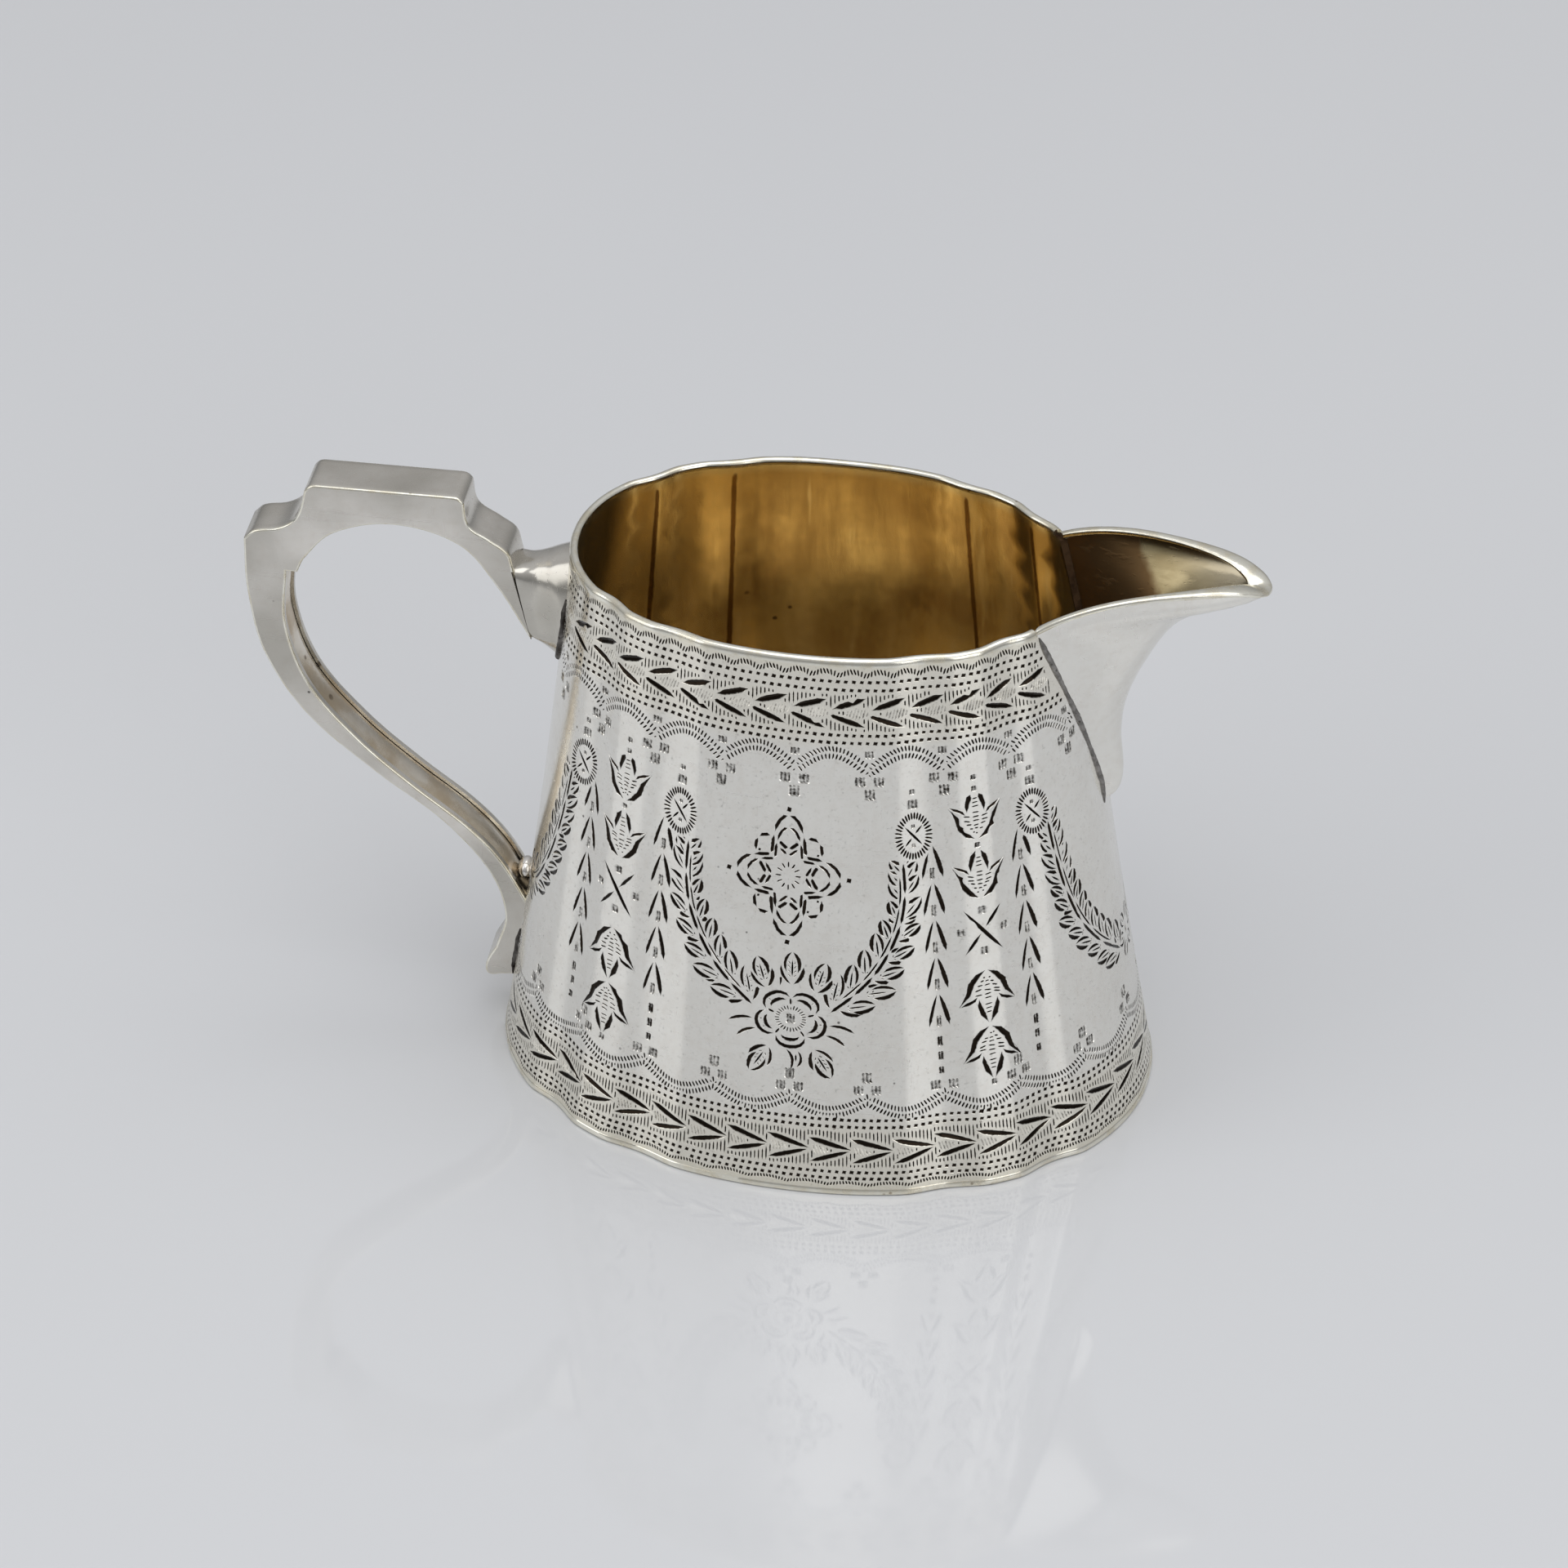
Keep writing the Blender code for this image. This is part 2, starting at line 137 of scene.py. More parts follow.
# Where the wall can't be cut: beyond two heights, near the spout, and under the handle's socket
# and foot, each from a height to a height and so far to either side
LOWEST_CUT = WALL_BOTTOM + 0.15
HIGHEST_CUT = WALL_TOP - 0.1
SPOUT_COVER_Z = SPOUT_BOTTOM_Z - 1.2
SPOUT_COVER_SIDE = 0.45
HANDLE_COVERS = ((53.0, 72.8, 5.3), (5.0, 23.5, 3.5))

# Places of the motifs, from the middle of a broad face
ROSETTE_Z = 51.2
INNER_ROSETTE = 15.5
OUTER_ROSETTE = 32.3
TULIP_PLACE = 23.8
CHEVRON_TOP = 49.6
CHEVRON_ANGLES = (242.3, 219.8)
STEM_SPAN = 5
PANEL_STEM = (
    (4.7, 26.2), (7.5, 28.8), (9.9, 31.6), (11.9, 35.0), (13.4, 38.8), (14.1, 43.0), (14.0, 47.6),
)
END_STEM = ((9.4, 27.2), (6.0, 32.3), (3.9, 38.2), (2.7, 44.2), (2.0, 49.4))

# Corners: the least turn that is eased, how far from the corner, and the tightest mitre
CORNER_TURN = 0.3
CORNER_EASE = 0.7
LEAST_MITRE = 0.6


# ---------------------------------------------------------------- shape of the body and spout

def mix(low, high, share):
    return low + (high - low) * share


def signed_power(value, power):
    return math.copysign(abs(value) ** power, value)


def body_size(z):
    """Half length, half width, squareness and centre of the oval at height z."""
    share = min(max(z / RIM_Z, 0.0), 1.0)
    hollow = WAIST_HOLLOW * 4.0 * share * (1.0 - share)
    half_length = mix(BASE_HALF_LENGTH, RIM_HALF_LENGTH, share) - hollow
    half_width = mix(BASE_HALF_WIDTH, RIM_HALF_WIDTH, share) - hollow
    squareness = mix(BASE_SQUARENESS, RIM_SQUARENESS, share)
    return half_length, half_width, squareness, RIM_CENTRE_X * share


def flute_depth(degrees, z):
    """How far the wall is pressed in at this angle of the oval."""
    from_end = abs((degrees + 180.0) % 360.0 - 180.0)
    from_end = min(from_end, 180.0 - from_end)
    share = min(max(z / RIM_Z, 0.0), 1.0)
    for angle, depth_at_base, depth_at_rim in FLUTES:
        away = (from_end - angle) / FLUTE_HALF_ANGLE
        if abs(away) < 1.0:
            return mix(depth_at_base, depth_at_rim, share) * (1.0 - away * away) ** 2
    return 0.0


def wall_point(degrees, z, offset=0.0):
    """A point of the body's outer face, moved outwards by offset."""
    half_length, half_width, squareness, centre = body_size(z)
    grow = offset - flute_depth(degrees, z)
    angle = math.radians(degrees)
    power = 2.0 / squareness
    x = centre + (half_length + grow) * signed_power(math.cos(angle), power)
    y = (half_width + grow) * signed_power(math.sin(angle), power)
    return Vector((x, y, z))


def wall_normal(degrees, z):
    """Outward direction of the body's face, from its slopes round and up."""
    round_it = wall_point(degrees + 0.6, z) - wall_point(degrees - 0.6, z)
    up_it = wall_point(degrees, z + 1.0) - wall_point(degrees, z - 1.0)
    return round_it.cross(up_it).normalized()


def measured_round(z, steps=720):
    """Angles from the seam right round the oval, and the distance travelled to each."""
    angles = [180.0 + 360.0 * step / steps for step in range(steps + 1)]
    travelled = [0.0]
    for before, after in zip(angles, angles[1:]):
        travelled.append(travelled[-1] + (wall_point(after, z) - wall_point(before, z)).length)
    return angles, travelled


MIDDLE_ANGLES, MIDDLE_TRAVEL = measured_round(MIDDLE_Z)
AROUND = MIDDLE_TRAVEL[-1]
STRETCH_BASE = measured_round(0.0)[1][-1] / AROUND
STRETCH_RIM = measured_round(RIM_Z)[1][-1] / AROUND


def looked_up(value, keys, results):
    """The result for a value, in step with a rising list of keys."""
    after = min(max(bisect.bisect_left(keys, value), 1), len(keys) - 1)
    share = (value - keys[after - 1]) / (keys[after] - keys[after - 1])
    return mix(results[after - 1], results[after], share)


def angle_at(u):
    """Angle of the oval at unrolled distance u."""
    return looked_up(u, MIDDLE_TRAVEL, MIDDLE_ANGLES)


def u_at(degrees):
    """Unrolled distance of an angle between 180 and 540."""
    return looked_up(degrees, MIDDLE_ANGLES, MIDDLE_TRAVEL)


def stretch(z):
    """Real distance on the wall at height z for one unit of u."""
    return mix(STRETCH_BASE, STRETCH_RIM, z / RIM_Z)


def spout_half_width(z):
    """Half width of the spout where it meets the body, at height z."""
    share = (z - SPOUT_BOTTOM_Z) / (SPOUT_ROOT_Z - SPOUT_BOTTOM_Z)
    share = min(max(share, 0.0), 1.0)
    swell = 1.0 + SPOUT_SWELL * share * (1.0 - share)
    return max(SPOUT_ROOT_HALF_WIDTH * share * swell, SPOUT_LEAST_HALF)


def body_x(y, z, side=1.0):
    """X of the body's outer face without its flutes, at the spout or, for side -1, the handle."""
    half_length, half_width, squareness, centre = body_size(z)
    rest = 1.0 - (abs(y) / half_width) ** squareness
    return centre + side * half_length * rest ** (1.0 / squareness)


def keel_x(keel, z):
    """X of the spout's keel at height z, read from its smooth line."""
    for low, high in zip(keel, keel[1:]):
        if z <= high.y:
            return mix(low.x, high.x, (z - low.y) / (high.y - low.y))
    return keel[-1].x


def lip_z(across):
    """Height of the lip's upper edge, from the tip (0) to the roots at the rim (-1 and 1)."""
    reach = min(abs(across), 1.0)
    rise = SPOUT_LIP_RISE * (1.0 - reach ** 8)
    droop = SPOUT_TIP_DROOP * (1.0 - reach ** 2) ** 12
    return SPOUT_ROOT_Z + rise - droop


def spout_point(keel, across, z, set_in=0.0):
    """A point of the spout's face, a parabola at each height. set_in narrows it at the sides."""
    reach = abs(across)
    half = max(spout_half_width(z) - set_in, 0.3 * SPOUT_LEAST_HALF)
    nose_x = keel_x(keel, z)
    root_x = min(body_x(half, min(z, SPOUT_ROOT_Z)), nose_x - SPOUT_LEAST_DEPTH)
    y = half * reach * (0.9 + 0.1 * reach ** 4)
    return Vector((mix(nose_x, root_x, reach * reach), math.copysign(y, across), z))


def neighbours(path):
    """Each point of a path between its two neighbours. An end is its own outer neighbour."""
    return zip([path[0], *path], path, [*path[1:], path[-1]])


def smooth_run(points, steps=4):
    """A smooth curve through every point of a run, as bezier spans of equal step count."""
    path = [Vector((x, y, 0.0)) for x, y in points]
    slopes = [(after - before).normalized() for before, _, after in neighbours(path)]
    made = [path[0]]
    for start, end, leaving, arriving in zip(path, path[1:], slopes, slopes[1:]):
        reach = (end - start).length / 3.0
        handles = (start + leaving * reach, end - arriving * reach)
        made.extend(interpolate_bezier(start, *handles, end, steps + 1)[1:])
    return [Vector((point.x, point.y)) for point in made]


def joined(*runs):
    """Runs one after another, with the point that two runs share kept once."""
    path = []
    for run in runs:
        for point in run:
            if not path or (point - path[-1]).length > 0.02:
                path.append(point)
    return path


def eased(path):
    """The same line with its sharp corners cut to small arcs."""
    made = [path[0]]
    for before, corner, after in zip(path, path[1:], path[2:]):
        arriving = corner - before
        leaving = after - corner
        if arriving.angle(leaving) < CORNER_TURN:
            made.append(corner)
            continue
        first = corner - arriving.normalized() * min(CORNER_EASE, 0.45 * arriving.length)
        last = corner + leaving.normalized() * min(CORNER_EASE, 0.45 * leaving.length)
        for share in (0.0, 0.25, 0.5, 0.75, 1.0):
            made.append(first.lerp(corner, share).lerp(corner.lerp(last, share), share))
    return made + [path[-1]]


def set_right(path, distance):
    """The path moved to the right of its own direction, with mitred corners."""
    moved = []
    for before, point, after in neighbours(path):
        leaving = (after - point if after is not point else point - before).normalized()
        arriving = (point - before if before is not point else after - point).normalized()
        turn = (arriving + leaving).normalized()
        spread = max(turn.dot(leaving), LEAST_MITRE)
        moved.append(point + Vector((turn.y, -turn.x)) * (distance / spread))
    return moved


# ---------------------------------------------------------------- materials

class Shade:
    """Short words for building one material's nodes."""

    def __init__(self, name):
        self.made = bpy.data.materials.new(name)
        self.made.use_nodes = True
        self.tree = self.made.node_tree
        self.shader = self.tree.nodes["Principled BSDF"]
        self.place = self.node("ShaderNodeTexCoord").outputs["Object"]

    def node(self, kind, **settings):
        made = self.tree.nodes.new(kind)
        for key, value in settings.items():
            setattr(made, key, value)
        return made

    def fill(self, socket, value):
        """Links a node's output to the socket, or sets a plain value or colour on it."""
        if isinstance(value, bpy.types.NodeSocket):
            self.tree.links.new(value, socket)
        elif socket.type == "RGBA":
            socket.default_value = (*value, 1.0)
        else:
            socket.default_value = value

    def put(self, node, **values):
        """Fills a node's inputs by name, with _ for a space."""
        for key, value in values.items():
            self.fill(node.inputs[key.replace("_", " ")], value)
        return node

    def along(self, axis):
        """Position along one axis, in metres."""
        return self.put(self.node("ShaderNodeSeparateXYZ"), Vector=self.place).outputs[axis]

    def attribute(self, name):
        return self.node("ShaderNodeAttribute", attribute_name=name).outputs["Fac"]

    def noise(self, scale, detail=4.0, roughness=0.5, squeeze=None):
        """Cloudy noise. squeeze scales the place along each axis, for drawn-out grain."""
        place = self.place
        if squeeze:
            mapping = self.put(self.node("ShaderNodeMapping"), Vector=place, Scale=squeeze)
            place = mapping.outputs["Vector"]
        node = self.node("ShaderNodeTexNoise")
        self.put(node, Vector=place, Scale=scale, Detail=detail, Roughness=roughness)
        return node.outputs["Fac"]

    def cells(self, scale):
        """Distance from the nearest of many scattered points."""
        node = self.node("ShaderNodeTexVoronoi")
        return self.put(node, Vector=self.place, Scale=scale).outputs["Distance"]

    def ramp(self, value, low, high):
        """0 on low's side and 1 on high's side, with a soft change between them."""
        node = self.node("ShaderNodeMapRange", interpolation_type="SMOOTHSTEP")
        return self.put(node, Value=value, From_Min=low, From_Max=high).outputs["Result"]

    def patches(self, low, high, *noise):
        """Noise sharpened into patches between low and high."""
        return self.ramp(self.noise(*noise), low, high)

    def maths(self, operation, first, second):
        node = self.node("ShaderNodeMath", operation=operation)
        self.fill(node.inputs[0], first)
        self.fill(node.inputs[1], second)
        return node.outputs["Value"]

    def total(self, base, *terms):
        """The base plus each mask times its share."""
        for mask, share in terms:
            base = self.maths("ADD", base, self.maths("MULTIPLY", mask, share))
        return base

    def tinted(self, colour, *tints):
        """The colour turned towards others one after another, by share where each mask is 1."""
        for mask, share, other in tints:
            node = self.node("ShaderNodeMix", data_type="RGBA")
            values = (self.maths("MULTIPLY", mask, share), colour, other)
            for index, value in zip(MIX_INPUTS, values):
                self.fill(node.inputs[index], value)
            colour = node.outputs[MIX_OUTPUT]
        return colour

    def finish(self, colour, roughness, relief, strength, distance):
        """Gives the metal its colour, roughness and bump."""
        self.put(self.shader, Base_Color=colour, Roughness=roughness, Metallic=1.0)
        bump = self.node("ShaderNodeBump")
        self.put(bump, Height=relief, Strength=strength, Distance=distance)
        self.put(self.shader, Normal=bump.outputs["Normal"])
        return self.made


MIX_INPUTS = (0, 6, 7)
MIX_OUTPUT = 2

SILVER = (0.86, 0.845, 0.795)
SILVER_SHADE = (0.77, 0.745, 0.69)
TARNISH = (0.66, 0.60, 0.53)
ROSY_SILVER = (0.86, 0.74, 0.66)
# Painted shade: the dark silver laid in patches over the handle and socket.
SHADED_SILVER = (0.42, 0.40, 0.35)
BORDER_CAST = (0.80, 0.75, 0.62)
PALE_GILT = (0.80, 0.755, 0.61)
OXIDE = (0.018, 0.013, 0.009)

GOLD = (0.90, 0.755, 0.455)
GOLD_SHADE = (0.68, 0.53, 0.295)
# Painted reflection: lighter gold low inside the jug.
PAINTED_REFLECTION_GOLD = (0.98, 0.86, 0.585)
FLOOR_GOLD = (0.66, 0.50, 0.27)
STAINED_GOLD = (0.46, 0.33, 0.17)
RUBBED_GOLD = (0.97, 0.87, 0.62)
# Painted shade along the flutes' creases inside, which also darkens the stained edge by the spout's
# opening.
CREASE_SHADE_AND_STAIN = (0.20, 0.11, 0.04)
SPECK_BROWN = (0.10, 0.05, 0.02)

SPOUT_GOLD = (0.40, 0.33, 0.19)
SPOUT_GOLD_SHADE = (0.29, 0.23, 0.125)
SPOUT_WORN = (0.52, 0.47, 0.37)
# Painted reflection of the jug's dark inside, at the spout's root.
SPOUT_ROOT_REFLECTED_SHADE = (0.15, 0.085, 0.036)


def scratches(shade, scale):
    """Fine wiping scratches in two directions, near 1 only along thin lines."""
    lengthwise = shade.patches(0.63, 0.72, scale, 2.0, 0.4, (0.06, 1.0, 1.6))
    upright = shade.patches(0.64, 0.73, scale * 1.3, 2.0, 0.4, (1.4, 1.0, 0.07))
    return shade.maths("MAXIMUM", lengthwise, upright)


def pits(shade, scale, size):
    """Small scattered pits, kept to some patches."""
    spots = shade.ramp(shade.cells(scale), size, size * 0.5)
    return shade.maths("MULTIPLY", spots, shade.patches(0.56, 0.64, scale * 0.13, 2.0))


def polished_silver(name, warm=0.0, rough=0.15, wear=1.0, painted_shade=0.0):
    """Old polished silver: cloudy colour, wiping scratches, tiny pits and patches of painted shade,
    as dark as the last argument asks.
    """
    shade = Shade(name)
    clouds = shade.patches(0.35, 0.7, 90.0, 5.0, 0.6)
    fine = shade.patches(0.4, 0.75, 900.0, 4.0, 0.6)
    # Patches of painted shade, as dark as the last argument asks.
    painted_shade_patches = shade.patches(0.3, 0.7, 45.0, 3.0)
    holes = pits(shade, 380.0, 0.09)
    lines = scratches(shade, 1500.0)
    colour = shade.tinted(
        SILVER, (clouds, 0.4, SILVER_SHADE), (fine, 0.22 * wear, TARNISH),
        (1.0, warm, ROSY_SILVER), (painted_shade_patches, painted_shade, SHADED_SILVER), (holes, 0.75, OXIDE),
    )
    polish = shade.total(rough, (clouds, 0.07), (lines, 0.1 * wear))
    relief = shade.total(shade.noise(260.0, 3.0), (holes, -1.5), (lines, -0.12 * wear))
    shade.finish(colour, polish, relief, 0.16, 0.00012)
    return shade


def engraved_silver():
    """Body silver, with dark oxide held in the cuts and a warmer cast in the two borders."""
    shade = polished_silver("engraved_silver")
    colour = shade.shader.inputs["Base Color"].links[0].from_socket
    height = shade.along("Z")
    borders = shade.maths(
        "MAXIMUM", shade.ramp(height, 0.0125, 0.009), shade.ramp(height, 0.0625, 0.0655))
    edges = shade.maths(
        "MAXIMUM", shade.ramp(height, 0.0022, 0.001), shade.ramp(height, 0.0736, 0.0752))
    grimy_cut = shade.total(shade.attribute("cut"), (shade.noise(2400.0, 3.0), 0.5))
    dark = shade.ramp(grimy_cut, 0.28, 0.55)
    shade.put(shade.shader, Base_Color=shade.tinted(
        colour, (borders, 0.42, BORDER_CAST), (edges, 0.45, PALE_GILT), (dark, 1.0, OXIDE)))
    return shade.made


def gilt_inside():
    """Worn gilding: brown gold with upright streaks, bright rubbed lines and dark stains, lighter
    low down as a painted reflection and darkened along the creases with painted shade.
    """
    shade = Shade("gilt_inside")
    height = shade.along("Z")
    streaks = shade.patches(0.35, 0.68, 240.0, 5.0, 0.65, (1.0, 1.0, 0.1))
    stains = shade.patches(0.42, 0.66, 70.0, 5.0, 0.6)
    rubbed = shade.patches(0.62, 0.72, 520.0, 3.0, 0.5, (1.0, 1.0, 0.05))
    ragged = shade.noise(260.0, 6.0, 0.8, (1.0, 1.0, 0.4))
    # Painted shade along the flutes' creases, read from the cut attribute; the same mask also
    # darkens the stained edge by the spout's opening.
    creases = shade.ramp(shade.maths("ADD", shade.attribute("cut"), ragged), 0.95, 1.3)
    colour = shade.tinted(
        # The lighter gold below 48 mm is a painted reflection.
        GOLD, (streaks, 1.0, GOLD_SHADE), (shade.ramp(height, 0.070, 0.048), 0.7, PAINTED_REFLECTION_GOLD),
        (shade.ramp(height, 0.006, 0.002), 0.5, FLOOR_GOLD), (stains, 0.6, STAINED_GOLD),
        (rubbed, 0.6, RUBBED_GOLD), (creases, 0.95, CREASE_SHADE_AND_STAIN),
        (pits(shade, 300.0, 0.13), 0.8, SPECK_BROWN),
        (shade.ramp(height, 0.0735, 0.0752), 1.0, PALE_GILT),
    )
    relief = shade.noise(260.0, 4.0, 0.5, (1.0, 1.0, 0.15))
    return shade.finish(colour, shade.total(0.15, (streaks, 0.1)), relief, 0.12, 0.0002)


def spout_inside():
    """Gilding that is worn away towards the tip, with a painted dark reflection of the jug's inside
    at the root.
    """
    shade = Shade("spout_inside")
    forward = shade.total(
        shade.along("X"), (shade.along("Y"), 0.6), (shade.noise(140.0, 3.0, 0.6), 0.005))
    # The dark root is a painted reflection of the jug's dark inside.
    root = shade.ramp(forward, 0.0450, 0.0438)
    streaks = shade.patches(0.35, 0.7, 500.0, 4.0, 0.6, (0.12, 1.0, 1.0))
    lines = shade.patches(0.6, 0.7, 1400.0, 2.0, 0.5, (0.05, 1.0, 1.0))
    colour = shade.tinted(
        SPOUT_GOLD, (streaks, 1.0, SPOUT_GOLD_SHADE),
        (shade.ramp(forward, 0.046, 0.058), 1.0, SPOUT_WORN), (root, 0.92, SPOUT_ROOT_REFLECTED_SHADE),
    )
    polish = shade.total(0.26, (lines, 0.08), (root, 0.12))
    return shade.finish(colour, polish, lines, 0.12, 0.00008)


def pale_edge(name):
    """Rubbed edges, where yellowish metal shows through."""
    shade = Shade(name)
    wear = shade.patches(0.4, 0.65, 420.0, 5.0, 0.6)
    marks = pits(shade, 700.0, 0.2)
    colour = shade.tinted(
        (0.85, 0.83, 0.74), (wear, 1.0, (0.75, 0.70, 0.57)), (marks, 0.6, (0.2, 0.14, 0.07)))
    return shade.finish(
        colour, shade.total(0.16, (wear, 0.12)), shade.noise(700.0, 3.0), 0.25, 0.0001)


def stained_joint():
    """The dark, stained edge of the wall where the spout opens out of it."""
    shade = Shade("stained_joint")
    stains = shade.patches(0.35, 0.65, 600.0)
    colour = shade.tinted((0.07, 0.04, 0.02), (stains, 1.0, (0.03, 0.016, 0.008)))
    shade.finish(colour, 0.8, stains, 0.4, 0.0002)
    shade.put(shade.shader, Metallic=0.0, Specular_IOR_Level=0.05)
    return shade.made


def solder_metal(name, dirt_share):
    """Dark grey, lumpy solder. dirt_share is how much of it is black with dirt."""
    shade = Shade(name)
    clots = shade.patches(0.35, 0.7, 900.0, 5.0, 0.7)
    colour = shade.tinted(
        (0.46, 0.44, 0.42), (clots, 1.0, (0.20, 0.195, 0.185)),
        (shade.noise(500.0, 3.0), 2.0 * dirt_share, OXIDE),
        (shade.ramp(shade.cells(800.0), 0.25, 0.1), 0.7, OXIDE),
    )
    return shade.finish(colour, 0.38, clots, 0.6, 0.0003)


def strap_metal():
    """The handle's inner straps, golden brown where polish never reaches."""
    shade = Shade("strap_metal")
    brown = shade.patches(0.35, 0.65, 160.0, 5.0, 0.6)
    marks = pits(shade, 380.0, 0.2)
    colour = shade.tinted(
        (0.78, 0.73, 0.64), (brown, 1.0, (0.58, 0.49, 0.37)), (marks, 0.8, (0.12, 0.08, 0.05)))
    return shade.finish(
        colour, shade.total(0.2, (brown, 0.12)), shade.noise(420.0), 0.3, 0.0002)


# ---------------------------------------------------------------- engraving plan

def cut_allowed(u, z):
    """False in the places that the spout, the handle's two joints or the seam cover."""
    if not (SEAM_CLEAR < u < AROUND - SEAM_CLEAR and LOWEST_CUT < z < HIGHEST_CUT):
        return False
    place = wall_point(angle_at(u), z)
    if place.x > 0.0:
        return z < SPOUT_COVER_Z or abs(place.y) > spout_half_width(z) + SPOUT_COVER_SIDE
    covered = [half for low, high, half in HANDLE_COVERS if low < z < high]
    return all(abs(place.y) > half for half in covered)


def placed(u, z, turn=0.0, flip=1.0):
    """A function that takes millimetres about (u, z) to the unrolled wall."""
    cosine = math.cos(turn)
    sine = math.sin(turn)
    widen = 1.0 / stretch(z)

    def place(x, y):
        x = x * flip
        return u + (x * cosine - y * sine) * widen, z + x * sine + y * cosine

    return place


def unmoved(u, z):
    """Leaves a place of the unrolled wall as it is."""
    return u, z


def sampled(spine, widths):
    """Close places along a cut: how many spans in, the point, and the cut's width there."""
    ends = [0.0, *widths, 0.0]
    made = []
    for here, (start, end) in enumerate(zip(spine, spine[1:])):
        steps = max(round((end - start).length / CLEAR_STEP), 1)
        for step in range(steps):
            share = step / steps
            width = mix(ends[here], ends[here + 1], share)
            made.append((here + share, start.lerp(end, share), width))
    made.append((len(spine) - 1.0, spine[-1], 0.0))
    return made


class Plan:
    """Graver's cuts on the unrolled wall, as points with a depth and outline edges."""

    def __init__(self):
        self.points = []
        self.depths = []
        self.tones = []
        self.edges = []
        self.taken = {}
        self.random = random.Random(11)

    def add(self, point, depth=0.0, tone=0.0):
        self.points.append(Vector(point))
        self.depths.append(depth)
        self.tones.append(tone)
        return len(self.points) - 1

    def chain(self, indices):
        self.edges.extend(zip(indices, indices[1:]))

    def outlined(self, outline):
        """Adds a closed outline at the surface and gives its points' indices."""
        indices = [self.add(point) for point in outline]
        self.chain(indices + indices[:1])
        return indices

    def allowed(self, outline):
        """True where the jug can be cut and no earlier cut touches the outline."""
        return all(cut_allowed(*point) and self.free(*point, POINT_ROOM) for point in outline)

    def take(self, u, z, radius):
        """Notes that metal near (u, z) is cut, so that later cuts keep clear of it."""
        self.taken.setdefault((int(u), int(z)), []).append((u, z, radius))

    def free(self, u, z, room):
        """True where no earlier cut lies within room of (u, z)."""
        column, row = int(u), int(z)
        widen = stretch(z)
        for near_column in (column - 1, column, column + 1):
            for near_row in (row - 1, row, row + 1):
                for other_u, other_z, radius in self.taken.get((near_column, near_row), ()):
                    if math.hypot((other_u - u) * widen, other_z - z) < radius + room:
                        return False
        return True

    def shortened(self, place, spine, widths):
        """The longest stretch of a cut that keeps clear of earlier cuts, or None."""
        samples = sampled(spine, widths)
        clear = [self.free(*place(*point), 0.35 * width + CUT_ROOM) for _, point, width in samples]
        if all(clear):
            return spine, widths
        runs = groupby(range(len(clear)), clear.__getitem__)
        clear_runs = [list(run) for is_clear, run in runs if is_clear]
        kept = [samples[index] for index in max(clear_runs, key=len, default=())]
        length = (spine[-1] - spine[0]).length
        least = max(LEAST_CUT, LEAST_SHARE * length)
        if len(kept) < 3 or (kept[-1][1] - kept[0][1]).length < least:
            return None
        corners = [sample for sample in kept[1:-1] if abs(sample[0] - round(sample[0])) < 1e-6]
        inner = corners or [kept[len(kept) // 2]]
        path = [kept[0][1]] + [point for _, point, _ in inner] + [kept[-1][1]]
        return path, [max(width, 0.12) for _, _, width in inner]

    def carve(self, place, spine, widths, depth=CUT_DEPTH, tone=1.0):
        """A V cut with pointed ends along spine. widths belong to its inner points."""
        trimmed_cut = self.shortened(place, [Vector(point) for point in spine], widths)
        if trimmed_cut is None:
            return
        spine, widths = trimmed_cut
        left = []
        right = []
        for here in range(1, len(spine) - 1):
            along = (spine[here + 1] - spine[here - 1]).normalized()
            side = Vector((-along.y, along.x)) * (0.5 * widths[here - 1])
            left.append(place(*(spine[here] + side)))
            right.append(place(*(spine[here] - side)))
        start = place(*spine[0])
        end = place(*spine[-1])
        outline = [start] + left + [end] + right[::-1]
        if not all(cut_allowed(*point) for point in outline):
            return
        indices = self.outlined(outline)
        widest = max(widths)
        bottom = [indices[0]]
        for point, width in zip(spine[1:-1], widths):
            sunk = depth * (0.35 + 0.65 * width / widest)
            bottom.append(self.add(place(*point), sunk, tone))
        bottom.append(indices[len(left) + 1])
        self.chain(bottom)
        for _, point, width in sampled(spine, widths):
            self.take(*place(*point), 0.48 * width)

    def stroke(self, place, start, end, width, bend=0.0, heavy=0.5, parts=2, tone=1.0,
               depth=CUT_DEPTH):
        """A cut from start to end, bowed to its left by bend and widest at the share heavy."""
        start = Vector(start)
        end = Vector(end)
        across = end - start
        side = Vector((-across.y, across.x)).normalized()
        spine = [start]
        widths = []
        for step in range(1, parts + 1):
            share = step / (parts + 1)
            spine.append(start + across * share + side * (bend * 4.0 * share * (1.0 - share)))
            fall = (share - heavy) / (heavy if share < heavy else 1.0 - heavy)
            widths.append(width * (1.08 - 0.78 * fall * fall))
        spine.append(end)
        self.carve(place, spine, widths, depth, tone)

    def tick(self, place, x, y, length, width, angle=0.0, tone=0.9, depth=NICK_DEPTH):
        """A short straight nick centred on (x, y)."""
        half = Vector((math.cos(angle), math.sin(angle))) * (0.5 * length)
        middle = Vector((x, y))
        spine = (middle - half, middle - half * 0.5, middle + half * 0.5, middle + half)
        self.carve(place, spine, (width, width), depth, tone)

